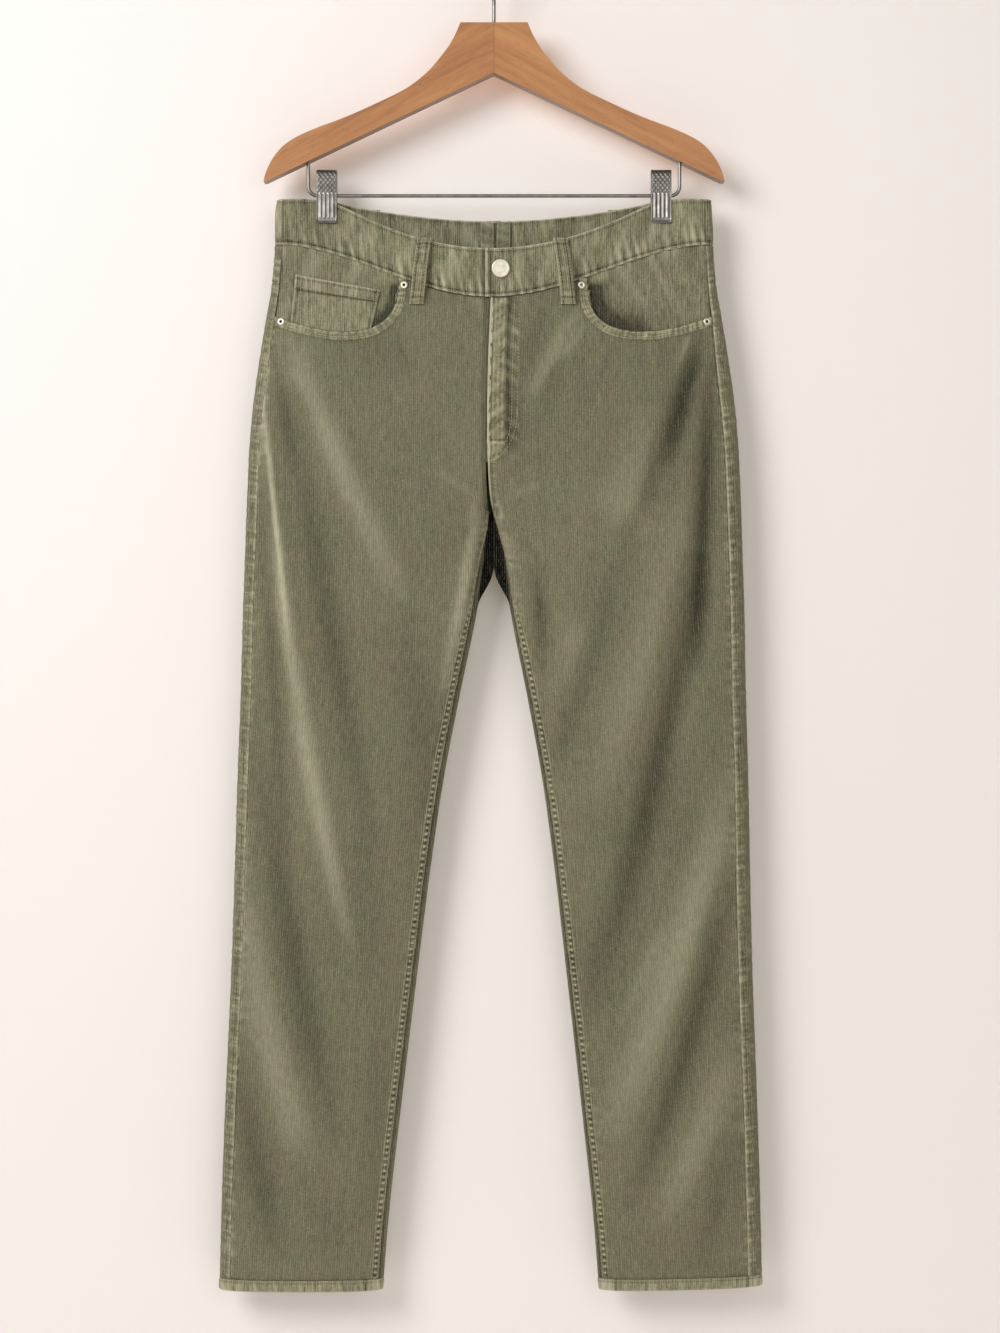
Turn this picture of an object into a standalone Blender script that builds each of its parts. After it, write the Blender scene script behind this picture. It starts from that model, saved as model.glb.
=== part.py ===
"""Corduroy trousers clipped to a wooden hanger, as a set of solid pieces in metres.

The garment is a five-pocket cut, hung flat from two spring clips. One form, a flattened tube
for each leg that joins into one at the hips, gives the outer surface. Every cloth piece is an
open sheet on that form, with a Solidify wall that runs inwards. The origin is where the hook
rests on its rail, +Z is up, the front faces -Y, and +X is the wearer's left.
"""

import math

import bmesh
import bpy
import numpy as np
from mathutils import Matrix, Vector

# ---------------------------------------------------------------- driving sizes, in metres
WAIST_TOP_Z = -0.265  # top of the waistband at the side seams
TROUSER_LENGTH = 1.056  # waistband top at the side to the hem
CROTCH_DROP = 0.298  # waistband top at the side to the crotch
CROTCH_GAP = 0.0003  # behind it the backs sag together, to this far from the centre line
CROTCH_SAG = (0.355, 0.395)  # the sag is whole down to the first drop and gone by the second
HIP_DROP = 0.200  # where the legs start to part inside the form
WALL = 0.0014  # one layer of corduroy
BAND_WALL = 0.0026  # waistband and hem, folded double
SEAM_GAP = 0.0003
LAY_GAP = 0.0006  # under a piece that lies on a panel
RIGHT, LEFT = -1, 1  # the wearer's sides, as the sign of x
SIDE_NAMES = {RIGHT: "right", LEFT: "left"}

# Each row is one level of the legs: how far it lies below the waistband's top, how far the
# outer and inner edges are from the centre line, and the half depths of front and back.
LEVELS = np.array(
    [
        # drop, outer, inner, front, back
        (0.000, 0.2105, 0.00015, 0.0120, 0.0120),
        (0.045, 0.2120, 0.00015, 0.0140, 0.0140),
        (0.085, 0.2155, 0.00015, 0.0165, 0.0175),
        (0.120, 0.2215, 0.00015, 0.0185, 0.0210),
        (0.160, 0.2280, 0.00015, 0.0205, 0.0245),
        (0.200, 0.2335, 0.00015, 0.0215, 0.0270),
        (0.240, 0.2370, 0.00015, 0.0220, 0.0285),
        (0.298, 0.2395, 0.00100, 0.0225, 0.0280),
        (0.340, 0.2410, 0.00750, 0.0225, 0.0265),
        (0.400, 0.2430, 0.01650, 0.0220, 0.0250),
        (0.485, 0.2450, 0.03350, 0.0210, 0.0230),
        (0.560, 0.2475, 0.04750, 0.0200, 0.0215),
        (0.640, 0.2495, 0.05900, 0.0190, 0.0200),
        (0.760, 0.2530, 0.07350, 0.0180, 0.0185),
        (0.880, 0.2580, 0.08750, 0.0170, 0.0170),
        (0.990, 0.2615, 0.09950, 0.0165, 0.0160),
        (1.060, 0.2630, 0.10500, 0.0160, 0.0155),
    ]
)
DROP, OUTER, INNER, FRONT, BACK = LEVELS.T
ROUNDNESS = 0.8  # exponent of the section: 1 is an ellipse, less is fuller at the edges

# Waistband, seams and what is cut along them.
FRONT_DIP = 0.050  # the slack front waistband hangs this far below the sides
BACK_DIP = 0.017
BAND_SIDE_DROP = 0.0445  # waistband seam at the sides
BAND_FRONT_DROP = 0.097  # waistband seam at the centre front
BAND_BACK_DROP = 0.060
YOKE_SIDE_DROP = 0.080
YOKE_BACK_DROP = 0.125
SLACK_HALF = 0.163  # half the slack stretch, from clip to clip
CENTRE_BULGE = 0.0215  # the waist stands this far out at the centre
SIDE_BULGE = 0.0085
CLIP_X = 0.162
CLIP_BULGE = 0.0030  # half depth where a clip presses the waist flat
CLIP_SPREAD = 0.017  # reach of the pinch sideways
CLIP_REACH = 0.024  # and below the top
LAP_EDGE = -0.0085  # edge of the overlapping waistband end
LAP_UNDER = 0.030  # how far the other end runs on beneath it
OUTSEAM_FORWARD = {RIGHT: 0.0110, LEFT: 0.0145}  # the side seams lie this far onto the front
OUTSEAM_TOP = 0.0070
INSEAM_FORWARD = {RIGHT: 0.0045, LEFT: 0.0032}
HEM_DEPTH = 0.0115
HEM_TILT = {RIGHT: 0.0000, LEFT: 0.0040}  # the outer end of the hem hangs this much higher
SWAY = -0.0030  # both legs hang this far to the wearer's right by the hem
FLY_EDGE = -0.0030
FLY_SHIFT = -0.0040  # the front seam swings this much further over, half way down
FLY_WIDTH = 0.0280
FLY_END_DROP = 0.256

# Front pocket mouth: it starts at the waistband seam and sweeps out to the side seam.
MOUTH_START_X = 0.0915
MOUTH_SINK = 0.0685
MOUTH_LIFT = 0.0315
FACING_DEPTH = 0.0040  # facing below the outer surface
COIN_DEPTH = 0.0022  # and the coin pocket, which lies on it

# Each row is one soft fold: side, face, its two ends as distance from the centre line and
# drop, how far it bows outwards, its half width and its height, below zero for a trough.
FOLDS = [
    # side, face, x0, drop0, x1, drop1, bow, width, height
    (RIGHT, "front", 0.204, 0.130, 0.092, 0.420, -0.006, 0.017, 0.0040),
    (RIGHT, "front", 0.222, 0.190, 0.160, 0.640, 0.008, 0.016, 0.0042),
    (RIGHT, "front", 0.205, 0.640, 0.150, 0.880, 0.004, 0.016, -0.0040),
    (RIGHT, "front", 0.238, 0.820, 0.185, 1.030, 0.003, 0.014, -0.0034),
    (RIGHT, "front", 0.014, 0.300, 0.050, 0.470, 0.004, 0.010, 0.0026),
    (LEFT, "front", 0.200, 0.135, 0.130, 0.350, 0.004, 0.011, -0.0044),
    (LEFT, "front", 0.216, 0.225, 0.122, 0.680, 0.018, 0.014, -0.0050),
    (LEFT, "front", 0.226, 0.690, 0.145, 0.975, 0.006, 0.015, -0.0044),
    (LEFT, "front", 0.090, 0.480, 0.058, 0.560, 0.002, 0.010, -0.0028),
    (LEFT, "front", 0.046, 0.330, 0.042, 0.470, 0.003, 0.008, -0.0028),
    (RIGHT, "back", 0.030, 0.330, 0.190, 0.450, 0.010, 0.018, -0.0045),
    (RIGHT, "back", 0.060, 0.560, 0.215, 0.680, -0.006, 0.016, -0.0036),
    (LEFT, "back", 0.026, 0.320, 0.185, 0.470, 0.012, 0.017, -0.0048),
    (LEFT, "back", 0.080, 0.620, 0.205, 0.760, -0.008, 0.018, -0.0034),
]

# How the panels are divided into faces, from the inner edge out and from the top down.
FRONT_COLUMNS = np.array(
    [0, 0.008, 0.03, 0.07, 0.14, 0.24, 0.34, 0.446, 0.55, 0.66, 0.77, 0.88, 0.95, 0.992, 1]
)
MOUTH_COLUMN = 0.446  # the column that starts at the pocket mouth's inner end
MOUTH_FOOT = 0.1  # the level at which the columns are straight again
PANEL_LEVELS = np.array(
    [0, 0.05, 0.1, 0.14, 0.175, 0.195, 0.208, 0.214, 0.225, 0.25, 0.29, 0.34, 0.4, 0.46]
    + [0.53, 0.6, 0.67, 0.74, 0.81, 0.88, 0.94, 1]
)
BACK_TURNS = np.radians([0, -8, -20, -34, -50, -68, -90, -112, -130, -146, -160, -172, -180])
HEM_TURNS = np.radians([0, 12, 26, 44, 66, 90, 114, 136, 154, 168, 180])  # half way round

# Belt loops: distance from the centre line and drop of each front loop's ends.
LOOP_WALL = 0.0020
LOOP_WIDTH = 0.0140
LOOP_BOW = 0.0070  # how far a loop stands off the band
LOOP_TOP = (0.065, 0.0400)
LOOP_FOOT = (0.073, 0.1040)
BACK_LOOP_X = 0.118
BACK_LOOP_LENGTH = 0.058

# Pockets. The coin pocket's foot is tucked under the mouth.
FACING_TUCK = 0.0130  # how far a facing runs on behind the mouth
FACING_OVERRUN = 0.0030  # and past the side seam
COIN_CORNERS = [(0.1090, 0.0890), (0.1920, 0.0730), (0.1978, 0.1275), (0.1188, 0.1335)]
PATCH_TOP = 0.1500
PATCH_FOOT = 0.2880
PATCH_POINT = 0.0120
PATCH_INNER = 0.0480
PATCH_OUTER = 0.1840
PATCH_TAPER = 0.006

# Inner label and tab: distance from the centre line of both edges, and drop of the foot.
LABEL_WALL = 0.0006
LABEL_SPAN = (0.0006, 0.0136, 0.0550)
TAB_SPAN = (0.0030, 0.0165, 0.0540)

# Button and rivets. A profile's rows are radius and height.
BUTTON_U = 0.0092
BUTTON_DROP = 0.0696
BUTTON_SEAT = 0.0006  # its foot stands this far above the form
BUTTON_PROFILE = [
    (0, 0),
    (0.0090, 0),
    (0.0090, 0.0016),
    (0.0082, 0.0026),
    (0.0062, 0.0028),
    (0.0052, 0.0021),
    (0, 0.0019),
]
RIVETS = [(0.0854, 0.0850), (0.2055, 0.1195)]
RIVET_SEAT = 0.0007
RIVET_PROFILE = [
    (0, 0),
    (0.0038, 0),
    (0.0038, 0.0005),
    (0.0026, 0.0012),
    (0.0013, 0.0011),
    (0.0011, 0.0016),
    (0, 0.0018),
]

# Hanger. Heights are from the waistband's top unless they say otherwise.
WOOD_THICK = 0.015
WOOD_TOP = 0.1705
WOOD_EDGE = 0.0035  # radius that rounds its edges
# Each row is a point of the wood's right upper edge: distance out, and drop from its top.
WOOD_EDGE_POINTS = [
    (0.0325, 0.0000),
    (0.0355, 0.0075),
    (0.0388, 0.0145),
    (0.0443, 0.0240),
    (0.0514, 0.0330),
    (0.0588, 0.0422),
    (0.0670, 0.0504),
    (0.0770, 0.0586),
    (0.0880, 0.0660),
    (0.1130, 0.0780),
    (0.1440, 0.0920),
    (0.1750, 0.1030),
    (0.2000, 0.1150),
    (0.2130, 0.1290),
    (0.2210, 0.1445),
    (0.2228, 0.1535),
    (0.2200, 0.1548),
]
WOOD_FOOT_MIDDLE = 0.0488  # lower edge at the centre, below the wood's top
WOOD_SLOPE = 0.4762  # and its fall for each metre out
WOOD_PEAK_X = 0.0040  # the lower edge's peak is cut off flat this far out
WIRE_R = 0.00175
HOLE_SPARE = 0.0003
HOOK_HOLE = 0.0170  # length of the hole for the hook's shank
HOOK_IN_WOOD = 0.0140
HOOK_R = 0.0225  # hook's bend, at the middle of its wire
HOOK_OPEN = 205  # degrees round the bend, from its free end to its neck
HOOK_NECK = -58
NECK_DROP = 0.042  # from the hook's centre down to where the shank is straight
NECK_PULL = 0.026
BAR_Z = 0.0040
BAR_HALF = 0.1800
BAR_BEND = 0.0090
BAR_HOLE = 0.0200
BAR_IN_WOOD = 0.0110
CLIP_WIDTH = 0.0194
CLIP_SHEET = 0.0012
# Each row is a point of a clip's back jaw: depth from the middle, and height.
CLIP_PATH = [
    (0.0059, -0.0233),
    (0.0043, -0.0213),
    (0.0043, 0.0000),
    (0.0055, 0.0100),
    (0.0062, 0.0215),
    (0.0048, 0.0262),
    (0.0020, 0.0278),
    (0.0000, 0.0278),
]


# ---------------------------------------------------------------- the garment's form
def along(table, drop):
    """A column of LEVELS at any drop, on a smooth curve through its rows."""
    slope = np.gradient(table, DROP)
    drop = np.clip(drop, DROP[0], DROP[-1])
    i = np.clip(np.searchsorted(DROP, drop, side="right") - 1, 0, len(DROP) - 2)
    step = DROP[i + 1] - DROP[i]
    t = (drop - DROP[i]) / step
    return (
        table[i] * (1 + 2 * t) * (1 - t) ** 2
        + slope[i] * step * t * (1 - t) ** 2
        + table[i + 1] * t**2 * (3 - 2 * t)
        - slope[i + 1] * step * t**2 * (1 - t)
    )


def ease(value, low, high):
    """0 below low, 1 above high, and a smooth step between."""
    t = np.clip((value - low) / (high - low), 0, 1)
    return t * t * (3 - 2 * t)


def front_top(x):
    return FRONT_DIP * np.clip(1 - (x / SLACK_HALF) ** 2, 0, 1) ** 1.15


def back_top(x):
    return BACK_DIP * np.clip(1 - (x / SLACK_HALF) ** 2, 0, 1)


def front_seam(x):
    sink = BAND_FRONT_DROP - BAND_SIDE_DROP
    return BAND_SIDE_DROP + sink * np.cos(math.pi / 2 * np.minimum(np.abs(x) / 0.215, 1)) ** 2


def back_seam(x):
    sink = BAND_BACK_DROP - BAND_SIDE_DROP
    return BAND_SIDE_DROP + sink * np.cos(math.pi / 2 * np.minimum(np.abs(x) / 0.215, 1)) ** 2


def yoke_seam(x):
    return YOKE_BACK_DROP + (YOKE_SIDE_DROP - YOKE_BACK_DROP) * np.abs(x) / 0.213


def waist_depth(x, drop):
    """Half depth at waist level: slack between the clips, pinched at each, round at the sides."""
    slack = np.cos(math.pi / 2 * np.minimum(np.abs(x) / SLACK_HALF, 1)) ** 2
    depth = SIDE_BULGE + (CENTRE_BULGE - SIDE_BULGE) * slack
    pinch = np.exp(-(((np.abs(x) - CLIP_X) / CLIP_SPREAD) ** 4))
    pinch = pinch * (1 - ease(drop, CLIP_REACH, 2.2 * CLIP_REACH))
    return depth + (CLIP_BULGE - depth) * pinch


def fold_height(side, front, x, drop):
    """How far the folds move the surface outwards, for one leg."""
    total = np.zeros_like(x)
    for fold_side, face, x0, drop0, x1, drop1, bow, width, height in FOLDS:
        if fold_side != side:
            continue
        run = math.hypot(x1 - x0, drop1 - drop0)
        ux, ud = (x1 - x0) / run, (drop1 - drop0) / run
        u = ((x - x0) * ux + (drop - drop0) * ud) / run
        window = np.clip(4 * u * (1 - u), 0, 1) ** 0.7
        across = (x - x0) * ud - (drop - drop0) * ux - bow * window
        shape = height * window * np.exp(-((across / width) ** 2))
        total += np.where(front == (face == "front"), shape, 0)
    return total


def form(side, tau, drop):
    """Outer surface of one leg and its half of the hips.

    tau runs round the section: 0 at the outer edge, 90 degrees at the middle of the front,
    180 at the inner edge or the centre seam, and below zero over the back. The section is a
    superellipse. Above the crotch it is the outer half of one that spans both legs.
    """
    tau, drop = np.broadcast_arrays(np.asarray(tau, float), np.asarray(drop, float))
    outer, inner = along(OUTER, drop), along(INNER, drop)
    cosine, sine = np.cos(tau), np.sin(tau)
    sag = np.maximum(inner - CROTCH_GAP, 0) * (1 - ease(drop, *CROTCH_SAG)) * ease(-sine, 0, 0.12)
    inner = inner - sag
    middle, half = (outer + inner) / 2, (outer - inner) / 2
    xi = np.sign(cosine) * np.abs(cosine) ** ROUNDNESS
    x = middle + half * xi
    front = sine >= 0
    leg = np.abs(sine) ** ROUNDNESS
    hip = np.clip(1 - np.clip(x / outer, 0, 1) ** (2 / ROUNDNESS), 0, 1) ** (ROUNDNESS / 2)
    t = np.clip((drop - HIP_DROP) / (CROTCH_DROP - HIP_DROP), 0, 1)
    parted = (1 - np.sqrt(1 - t * t)) * ease(-xi, 0.5, 1) + t * t * (3 - 2 * t) * (
        1 - ease(-xi, 0.5, 1)
    )
    body = np.where(front, along(FRONT, drop), along(BACK, drop))
    body = body * ((1 - parted) * hip + parted * leg)
    waist = waist_depth(x, drop) * np.sqrt(np.clip(1 - np.clip(x / outer, 0, 1) ** 24, 0, 1))
    depth = waist + (body - waist) * ease(drop, 0.040, 0.140)
    near_edge = np.clip((outer - x) / 0.02, 0, 1)
    near_edge = near_edge * (1 - parted * (1 - np.clip((x - inner) / 0.02, 0, 1)))
    depth = depth + near_edge * fold_height(side, front, x, drop)
    swing = FLY_EDGE + FLY_SHIFT * np.sin(math.pi * np.clip((drop - 0.09) / 0.25, 0, 1))
    swing = swing * (1 - ease(drop, CROTCH_DROP - 0.03, CROTCH_DROP + 0.05))
    shift = np.where(front, swing * np.clip(1 - x / 0.21, 0, 1) ** 2, 0)
    points = np.empty(tau.shape + (3,))
    points[..., 0] = side * x + shift + SWAY * ease(drop, 0.25, TROUSER_LENGTH)
    points[..., 1] = np.where(front, -depth, depth)
    points[..., 2] = WAIST_TOP_Z - drop
    return points


def tau_at(x, drop, back=False):
    """The tau at which the section is x from the centre line, over the front or the back."""
    outer, inner = along(OUTER, drop), along(INNER, drop)
    xi = np.clip((x - (outer + inner) / 2) / ((outer - inner) / 2), -1, 1)
    tau = np.arccos(np.sign(xi) * np.abs(xi) ** (1 / ROUNDNESS))
    return -tau if back else tau


def surface(side, tau, drop, lift=0.0):
    """Points on the form, moved out by lift along its own normal."""
    points = form(side, tau, drop)
    step_tau, step_drop = 1e-3, 5e-4
    across = form(side, tau + step_tau, drop) - form(side, tau - step_tau, drop)
    down = form(side, tau, drop + step_drop) - form(side, tau, drop - step_drop)
    normal = np.cross(down, across) * -side
    normal /= np.maximum(np.linalg.norm(normal, axis=-1, keepdims=True), 1e-12)
    return points + normal * np.asarray(lift, float)[..., None]


def on_front(side, x, drop, lift=0.0):
    return surface(side, tau_at(x, drop), drop, lift)


def on_back(side, x, drop, lift=0.0):
    return surface(side, tau_at(x, drop, back=True), drop, lift)


def outseam_x(side, drop):
    forward = OUTSEAM_TOP + (OUTSEAM_FORWARD[side] - OUTSEAM_TOP) * ease(drop, 0.05, 0.2)
    return along(OUTER, drop) - forward


def inseam_x(side, drop):
    return along(INNER, drop) + INSEAM_FORWARD[side] * ease(drop, CROTCH_DROP, CROTCH_DROP + 0.07)


def hem_drop(side, x):
    low, high = INNER[-1], OUTER[-1]
    return TROUSER_LENGTH - HEM_TILT[side] * np.clip((x - low) / (high - low), 0, 1)


def pocket_mouth(side, angle):
    """Distance from the centre line and drop along the mouth, for angle 0 to 90 degrees."""
    turn = 1 - np.cos(angle)
    start_drop = front_seam(MOUTH_START_X)
    end_x = outseam_x(side, start_drop + MOUTH_SINK - MOUTH_LIFT) - SEAM_GAP / 2
    x = MOUTH_START_X + (end_x - MOUTH_START_X) * turn**1.3
    drop = start_drop + MOUTH_SINK * np.sin(angle) ** 0.85 - MOUTH_LIFT * turn**2
    return x, drop


# ---------------------------------------------------------------- making objects
def clear_scene():
    for obj in list(bpy.data.objects):
        bpy.data.objects.remove(obj, do_unlink=True)


def material(name, colour, roughness, metallic=0.0):
    made = bpy.data.materials.new(name)
    made.use_nodes = True
    shader = made.node_tree.nodes["Principled BSDF"]
    shader.inputs["Base Color"].default_value = (*colour, 1)
    shader.inputs["Roughness"].default_value = roughness
    shader.inputs["Metallic"].default_value = metallic
    return made


def collection(name, hidden=False):
    made = bpy.data.collections.new(name)
    bpy.context.scene.collection.children.link(made)
    made.hide_render = hidden
    return made


def add_object(name, data, look, smooth=True):
    obj = bpy.data.objects.new(name, data)
    PARTS.objects.link(obj)
    data.materials.append(look)
    if smooth and isinstance(data, bpy.types.Mesh):
        data.shade_smooth()
        data.set_sharp_from_angle(angle=math.radians(35))
    return obj


def cloth(name, points, wall, look, closed=False):
    """A sheet through rows of points, its wall running inwards from them.

    points is (rows, columns, 3), from the top down, and as seen from outside from left to
    right. A closed sheet joins its last column to its first.
    """
    rows, columns = points.shape[:2]
    bm = bmesh.new()
    grid = [[bm.verts.new(p) for p in row] for row in points]
    for r in range(rows - 1):
        for c in range(columns if closed else columns - 1):
            e = (c + 1) % columns
            bm.faces.new((grid[r][c], grid[r + 1][c], grid[r + 1][e], grid[r][e]))
    mesh = bpy.data.meshes.new(name)
    bm.to_mesh(mesh)
    bm.free()
    obj = add_object(name, mesh, look)
    shell = obj.modifiers.new("wall", "SOLIDIFY")
    shell.thickness = wall
    shell.offset = -1
    return obj


def left_to_right(side, points):
    """Columns in the order that cloth() wants, for a sheet laid out from the centre out."""
    return points if side == LEFT else points[:, ::-1]


def turned(name, profile, place, axis, look, steps=14):
    """A profile of (radius, height) pairs, from its base up, spun about an axis."""
    mesh = bpy.data.meshes.new(name)
    edges = [(i, i + 1) for i in range(len(profile) - 1)]
    mesh.from_pydata([(r, 0, h) for r, h in profile], edges, [])
    obj = add_object(name, mesh, look)
    spin = obj.modifiers.new("spin", "SCREW")
    spin.steps = spin.render_steps = steps
    spin.use_normal_flip = True
    spin.use_merge_vertices = True
    spin.merge_threshold = 0.0001
    obj.matrix_world = Matrix.Translation(place) @ axis.to_track_quat("Z", "Y").to_matrix().to_4x4()
    return obj


def wire(name, points, radius, look, resolution=2):
    curve = bpy.data.curves.new(name, "CURVE")
    curve.dimensions = "3D"
    curve.bevel_depth = radius
    curve.bevel_resolution = resolution
    curve.use_fill_caps = True
    spline = curve.splines.new("POLY")
    spline.points.add(len(points) - 1)
    for point, place in zip(spline.points, points):
        point.co = (*place, 1)
    return add_object(name, curve, look)


def cutter(name, mesh):
    obj = bpy.data.objects.new(name, mesh)
    CUTTERS.objects.link(obj)
    obj.hide_render = True
    obj.display_type = "WIRE"
    return obj


def cylinder_mesh(name, radius, length, matrix, segments=16):
    bm = bmesh.new()
    bmesh.ops.create_cone(
        bm,
        cap_ends=True,
        segments=segments,
        radius1=radius,
        radius2=radius,
        depth=length,
        matrix=matrix,
    )
    mesh = bpy.data.meshes.new(name)
    bm.to_mesh(mesh)
    bm.free()
    return mesh


def cut(obj, tool):
    boolean = obj.modifiers.new("cut_" + tool.name, "BOOLEAN")
    boolean.operation = "DIFFERENCE"
    boolean.object = tool


# ---------------------------------------------------------------- legs


def front_panel(side):
    """Front of a leg: from the waistband and the pocket mouth down to the hem."""
    share = FRONT_COLUMNS[None, :]
    level = PANEL_LEVELS[:, None]
    angle = np.clip((FRONT_COLUMNS - MOUTH_COLUMN) / (1 - MOUTH_COLUMN), 0, 1) * math.pi / 2
    mouth_x, mouth_drop = pocket_mouth(side, angle)
    straight_x = MOUTH_START_X * np.minimum(FRONT_COLUMNS / MOUTH_COLUMN, 1)
    on_band = FRONT_COLUMNS <= MOUTH_COLUMN
    top_x = np.where(on_band, straight_x + SEAM_GAP / 2, mouth_x)
    top_drop = np.where(on_band, front_seam(straight_x) + SEAM_GAP, mouth_drop)
    low, high = inseam_x(side, TROUSER_LENGTH), outseam_x(side, TROUSER_LENGTH)
    foot = hem_drop(side, low + (high - low) * FRONT_COLUMNS) - HEM_DEPTH - SEAM_GAP
    drop = top_drop + (foot - top_drop) * level
    inner = inseam_x(side, drop) + SEAM_GAP / 2
    outer = outseam_x(side, drop) - SEAM_GAP / 2
    base_x = inner + (outer - inner) * share
    x = base_x + (top_x - base_x[0]) * (1 - np.minimum(level / MOUTH_FOOT, 1))
    return left_to_right(side, on_front(side, x, drop))


def around_back(side, drop, turns=BACK_TURNS):
    """tau of a back piece's columns: from the side seam, round the edge and over the back.

    Below the crotch the last column runs on round the inner edge to the inseam.
    """
    start = tau_at(outseam_x(side, drop) + SEAM_GAP / 2, drop)
    wrap = np.pi - tau_at(inseam_x(side, drop) - SEAM_GAP / 2, drop)
    wrap = np.where(drop > CROTCH_DROP + 0.002, wrap, 0)
    middle = np.broadcast_to(turns, drop.shape[:1] + turns.shape)
    ends = [-np.pi - wrap / 2, -np.pi - wrap * 0.88, -np.pi - wrap]
    return np.concatenate([start, start * 0.93, start / 2, middle, *ends], axis=1)


def back_sheet(side, top, foot, levels, turns=BACK_TURNS, wrapped=True):
    """Rows of points over the back, between two seams given as functions of x."""
    level = levels[:, None]
    rough = np.full((len(levels), 1), 0.1)
    tau = around_back(side, rough, turns)
    for _ in range(4):  # the drop depends on x, which depends on the drop
        x = np.abs(form(side, tau, rough)[..., 0])
        drop = top(x) + (foot(x) - top(x)) * level
        side_drop = drop[:, :1]
        tau = around_back(side, side_drop, turns)
        rough = drop
    if not wrapped:
        tau, drop = tau[:, :-3], drop[:, :-3]
    return drop, tau


def back_panel(side):
    """Back of a leg: from the yoke down to the hem, wrapped onto the front at both seams."""
    levels = PANEL_LEVELS
    drop, tau = back_sheet(
        side,
        lambda x: yoke_seam(x) + SEAM_GAP / 2,
        lambda x: hem_drop(side, x) - HEM_DEPTH - SEAM_GAP,
        levels,
    )
    return left_to_right(side, surface(side, tau, drop))


def build_legs():
    for side, name in SIDE_NAMES.items():
        cloth("front_" + name, front_panel(side), WALL, CORD)
        cloth("back_" + name, back_panel(side), WALL, CORD)
        drop, tau = back_sheet(
            side,
            lambda x: back_seam(x) + SEAM_GAP / 2,
            lambda x: yoke_seam(x) - SEAM_GAP / 2,
            np.array([0, 0.5, 1]),
            wrapped=False,
        )
        cloth("yoke_" + name, left_to_right(side, surface(side, tau, drop)), WALL, CORD)


# ---------------------------------------------------------------- waistband


def band_front(u, drop, lift=0.0):
    """Front of the hips across the centre line: u is signed, below zero on the right."""
    u, drop, lift = np.broadcast_arrays(u, drop, np.asarray(lift, float))
    x = np.maximum(np.abs(u), 0.0006)
    right = on_front(RIGHT, x, drop, lift)
    left = on_front(LEFT, x, drop, lift)
    return np.where((u < 0)[..., None], right, left)


def band_rows(top, foot, count=4):
    return top + (foot - top) * np.linspace(0, 1, count)[:, None]


def build_waistband():
    """Front band in two ends, the left lapped over the right, and the back band."""
    steps = np.array([0.0006, 0.012, 0.022, 0.035, 0.055, 0.080, 0.105, 0.130, 0.143, 0.150])
    steps = np.concatenate([steps, [0.156, 0.162, 0.168, 0.174, 0.181, 0.189, 0.196, 0.2015]])
    for side, name in SIDE_NAMES.items():
        lap = -LAP_EDGE + FLY_EDGE
        inner_end = np.array([-0.0006, -lap]) if side == LEFT else np.array([-LAP_UNDER])
        if side == RIGHT:
            inner_end = np.array([-0.0006, -0.012, -0.022, -LAP_UNDER])
        u = np.concatenate([inner_end[::-1], steps])
        if side == RIGHT:
            u = np.sort(np.append(u, [lap + 0.0006, lap + 0.004]))
        u = side * u[None, :]
        drop = band_rows(front_top(u), front_seam(u) - SEAM_GAP / 2)
        lift = np.zeros_like(drop)
        if side == RIGHT:
            tuck = 1 - ease(-u, lap + 0.0005, lap + 0.0045)
            lift = lift - (BAND_WALL + LAY_GAP) * tuck
        side_u = side * (outseam_x(side, drop[:, -1:]) - SEAM_GAP / 2)
        grid = np.concatenate([np.broadcast_to(u, drop.shape), side_u], axis=1)
        drop = np.concatenate([drop, drop[:, -1:]], axis=1)
        lift = np.concatenate([lift, lift[:, -1:]], axis=1)
        points = band_front(grid, drop, lift)
        cloth("waistband_front_" + name, left_to_right(side, points), BAND_WALL, CORD)
    halves = []
    turns = [0, -12, -26, -36, -42, -47, -51, -55, -59, -62.5, -66, -69.5, -73, -77, -83, -93]
    turns = np.radians(turns + [-108, -126, -146, -168])
    for side in (LEFT, RIGHT):
        drop, tau = back_sheet(
            side,
            back_top,
            lambda x: back_seam(x) - SEAM_GAP / 2,
            np.linspace(0, 1, 4),
            turns,
            wrapped=False,
        )
        halves.append(surface(side, tau, drop))
    points = np.concatenate([halves[0], halves[1][:, ::-1]], axis=1)
    cloth("waistband_back", points, BAND_WALL, CORD)


def belt_loop(name, place, x0, drop0, x1, drop1):
    """A strip from the band's top to below its seam, bowed out so that a belt passes."""
    s = np.array([0, 0.06, 0.16, 0.3, 0.5, 0.7, 0.84, 0.94, 1])[:, None]
    across = np.array([-0.5, 0, 0.5])[None, :] * LOOP_WIDTH
    side = RIGHT if x0 + x1 < 0 else LEFT
    lift = LOOP_WALL + LAY_GAP + LOOP_BOW * np.sin(math.pi * s) ** 0.75
    u = x0 + (x1 - x0) * s + across
    drop = drop0 + (drop1 - drop0) * s + 0 * across
    points = place(u, drop, lift + 0 * across)
    cloth("belt_loop_" + name, points, LOOP_WALL, CORD)


def across_back(u, drop, lift=0.0):
    """The back of the hips across the centre line, laid out from the wearer's left."""
    u, drop, lift = np.broadcast_arrays(u, drop, np.asarray(lift, float))
    x = np.maximum(np.abs(u), 0.0006)
    right = on_back(RIGHT, x, drop, lift)
    left = on_back(LEFT, x, drop, lift)
    return np.where((u < 0)[..., None], right, left)[:, ::-1]


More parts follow.
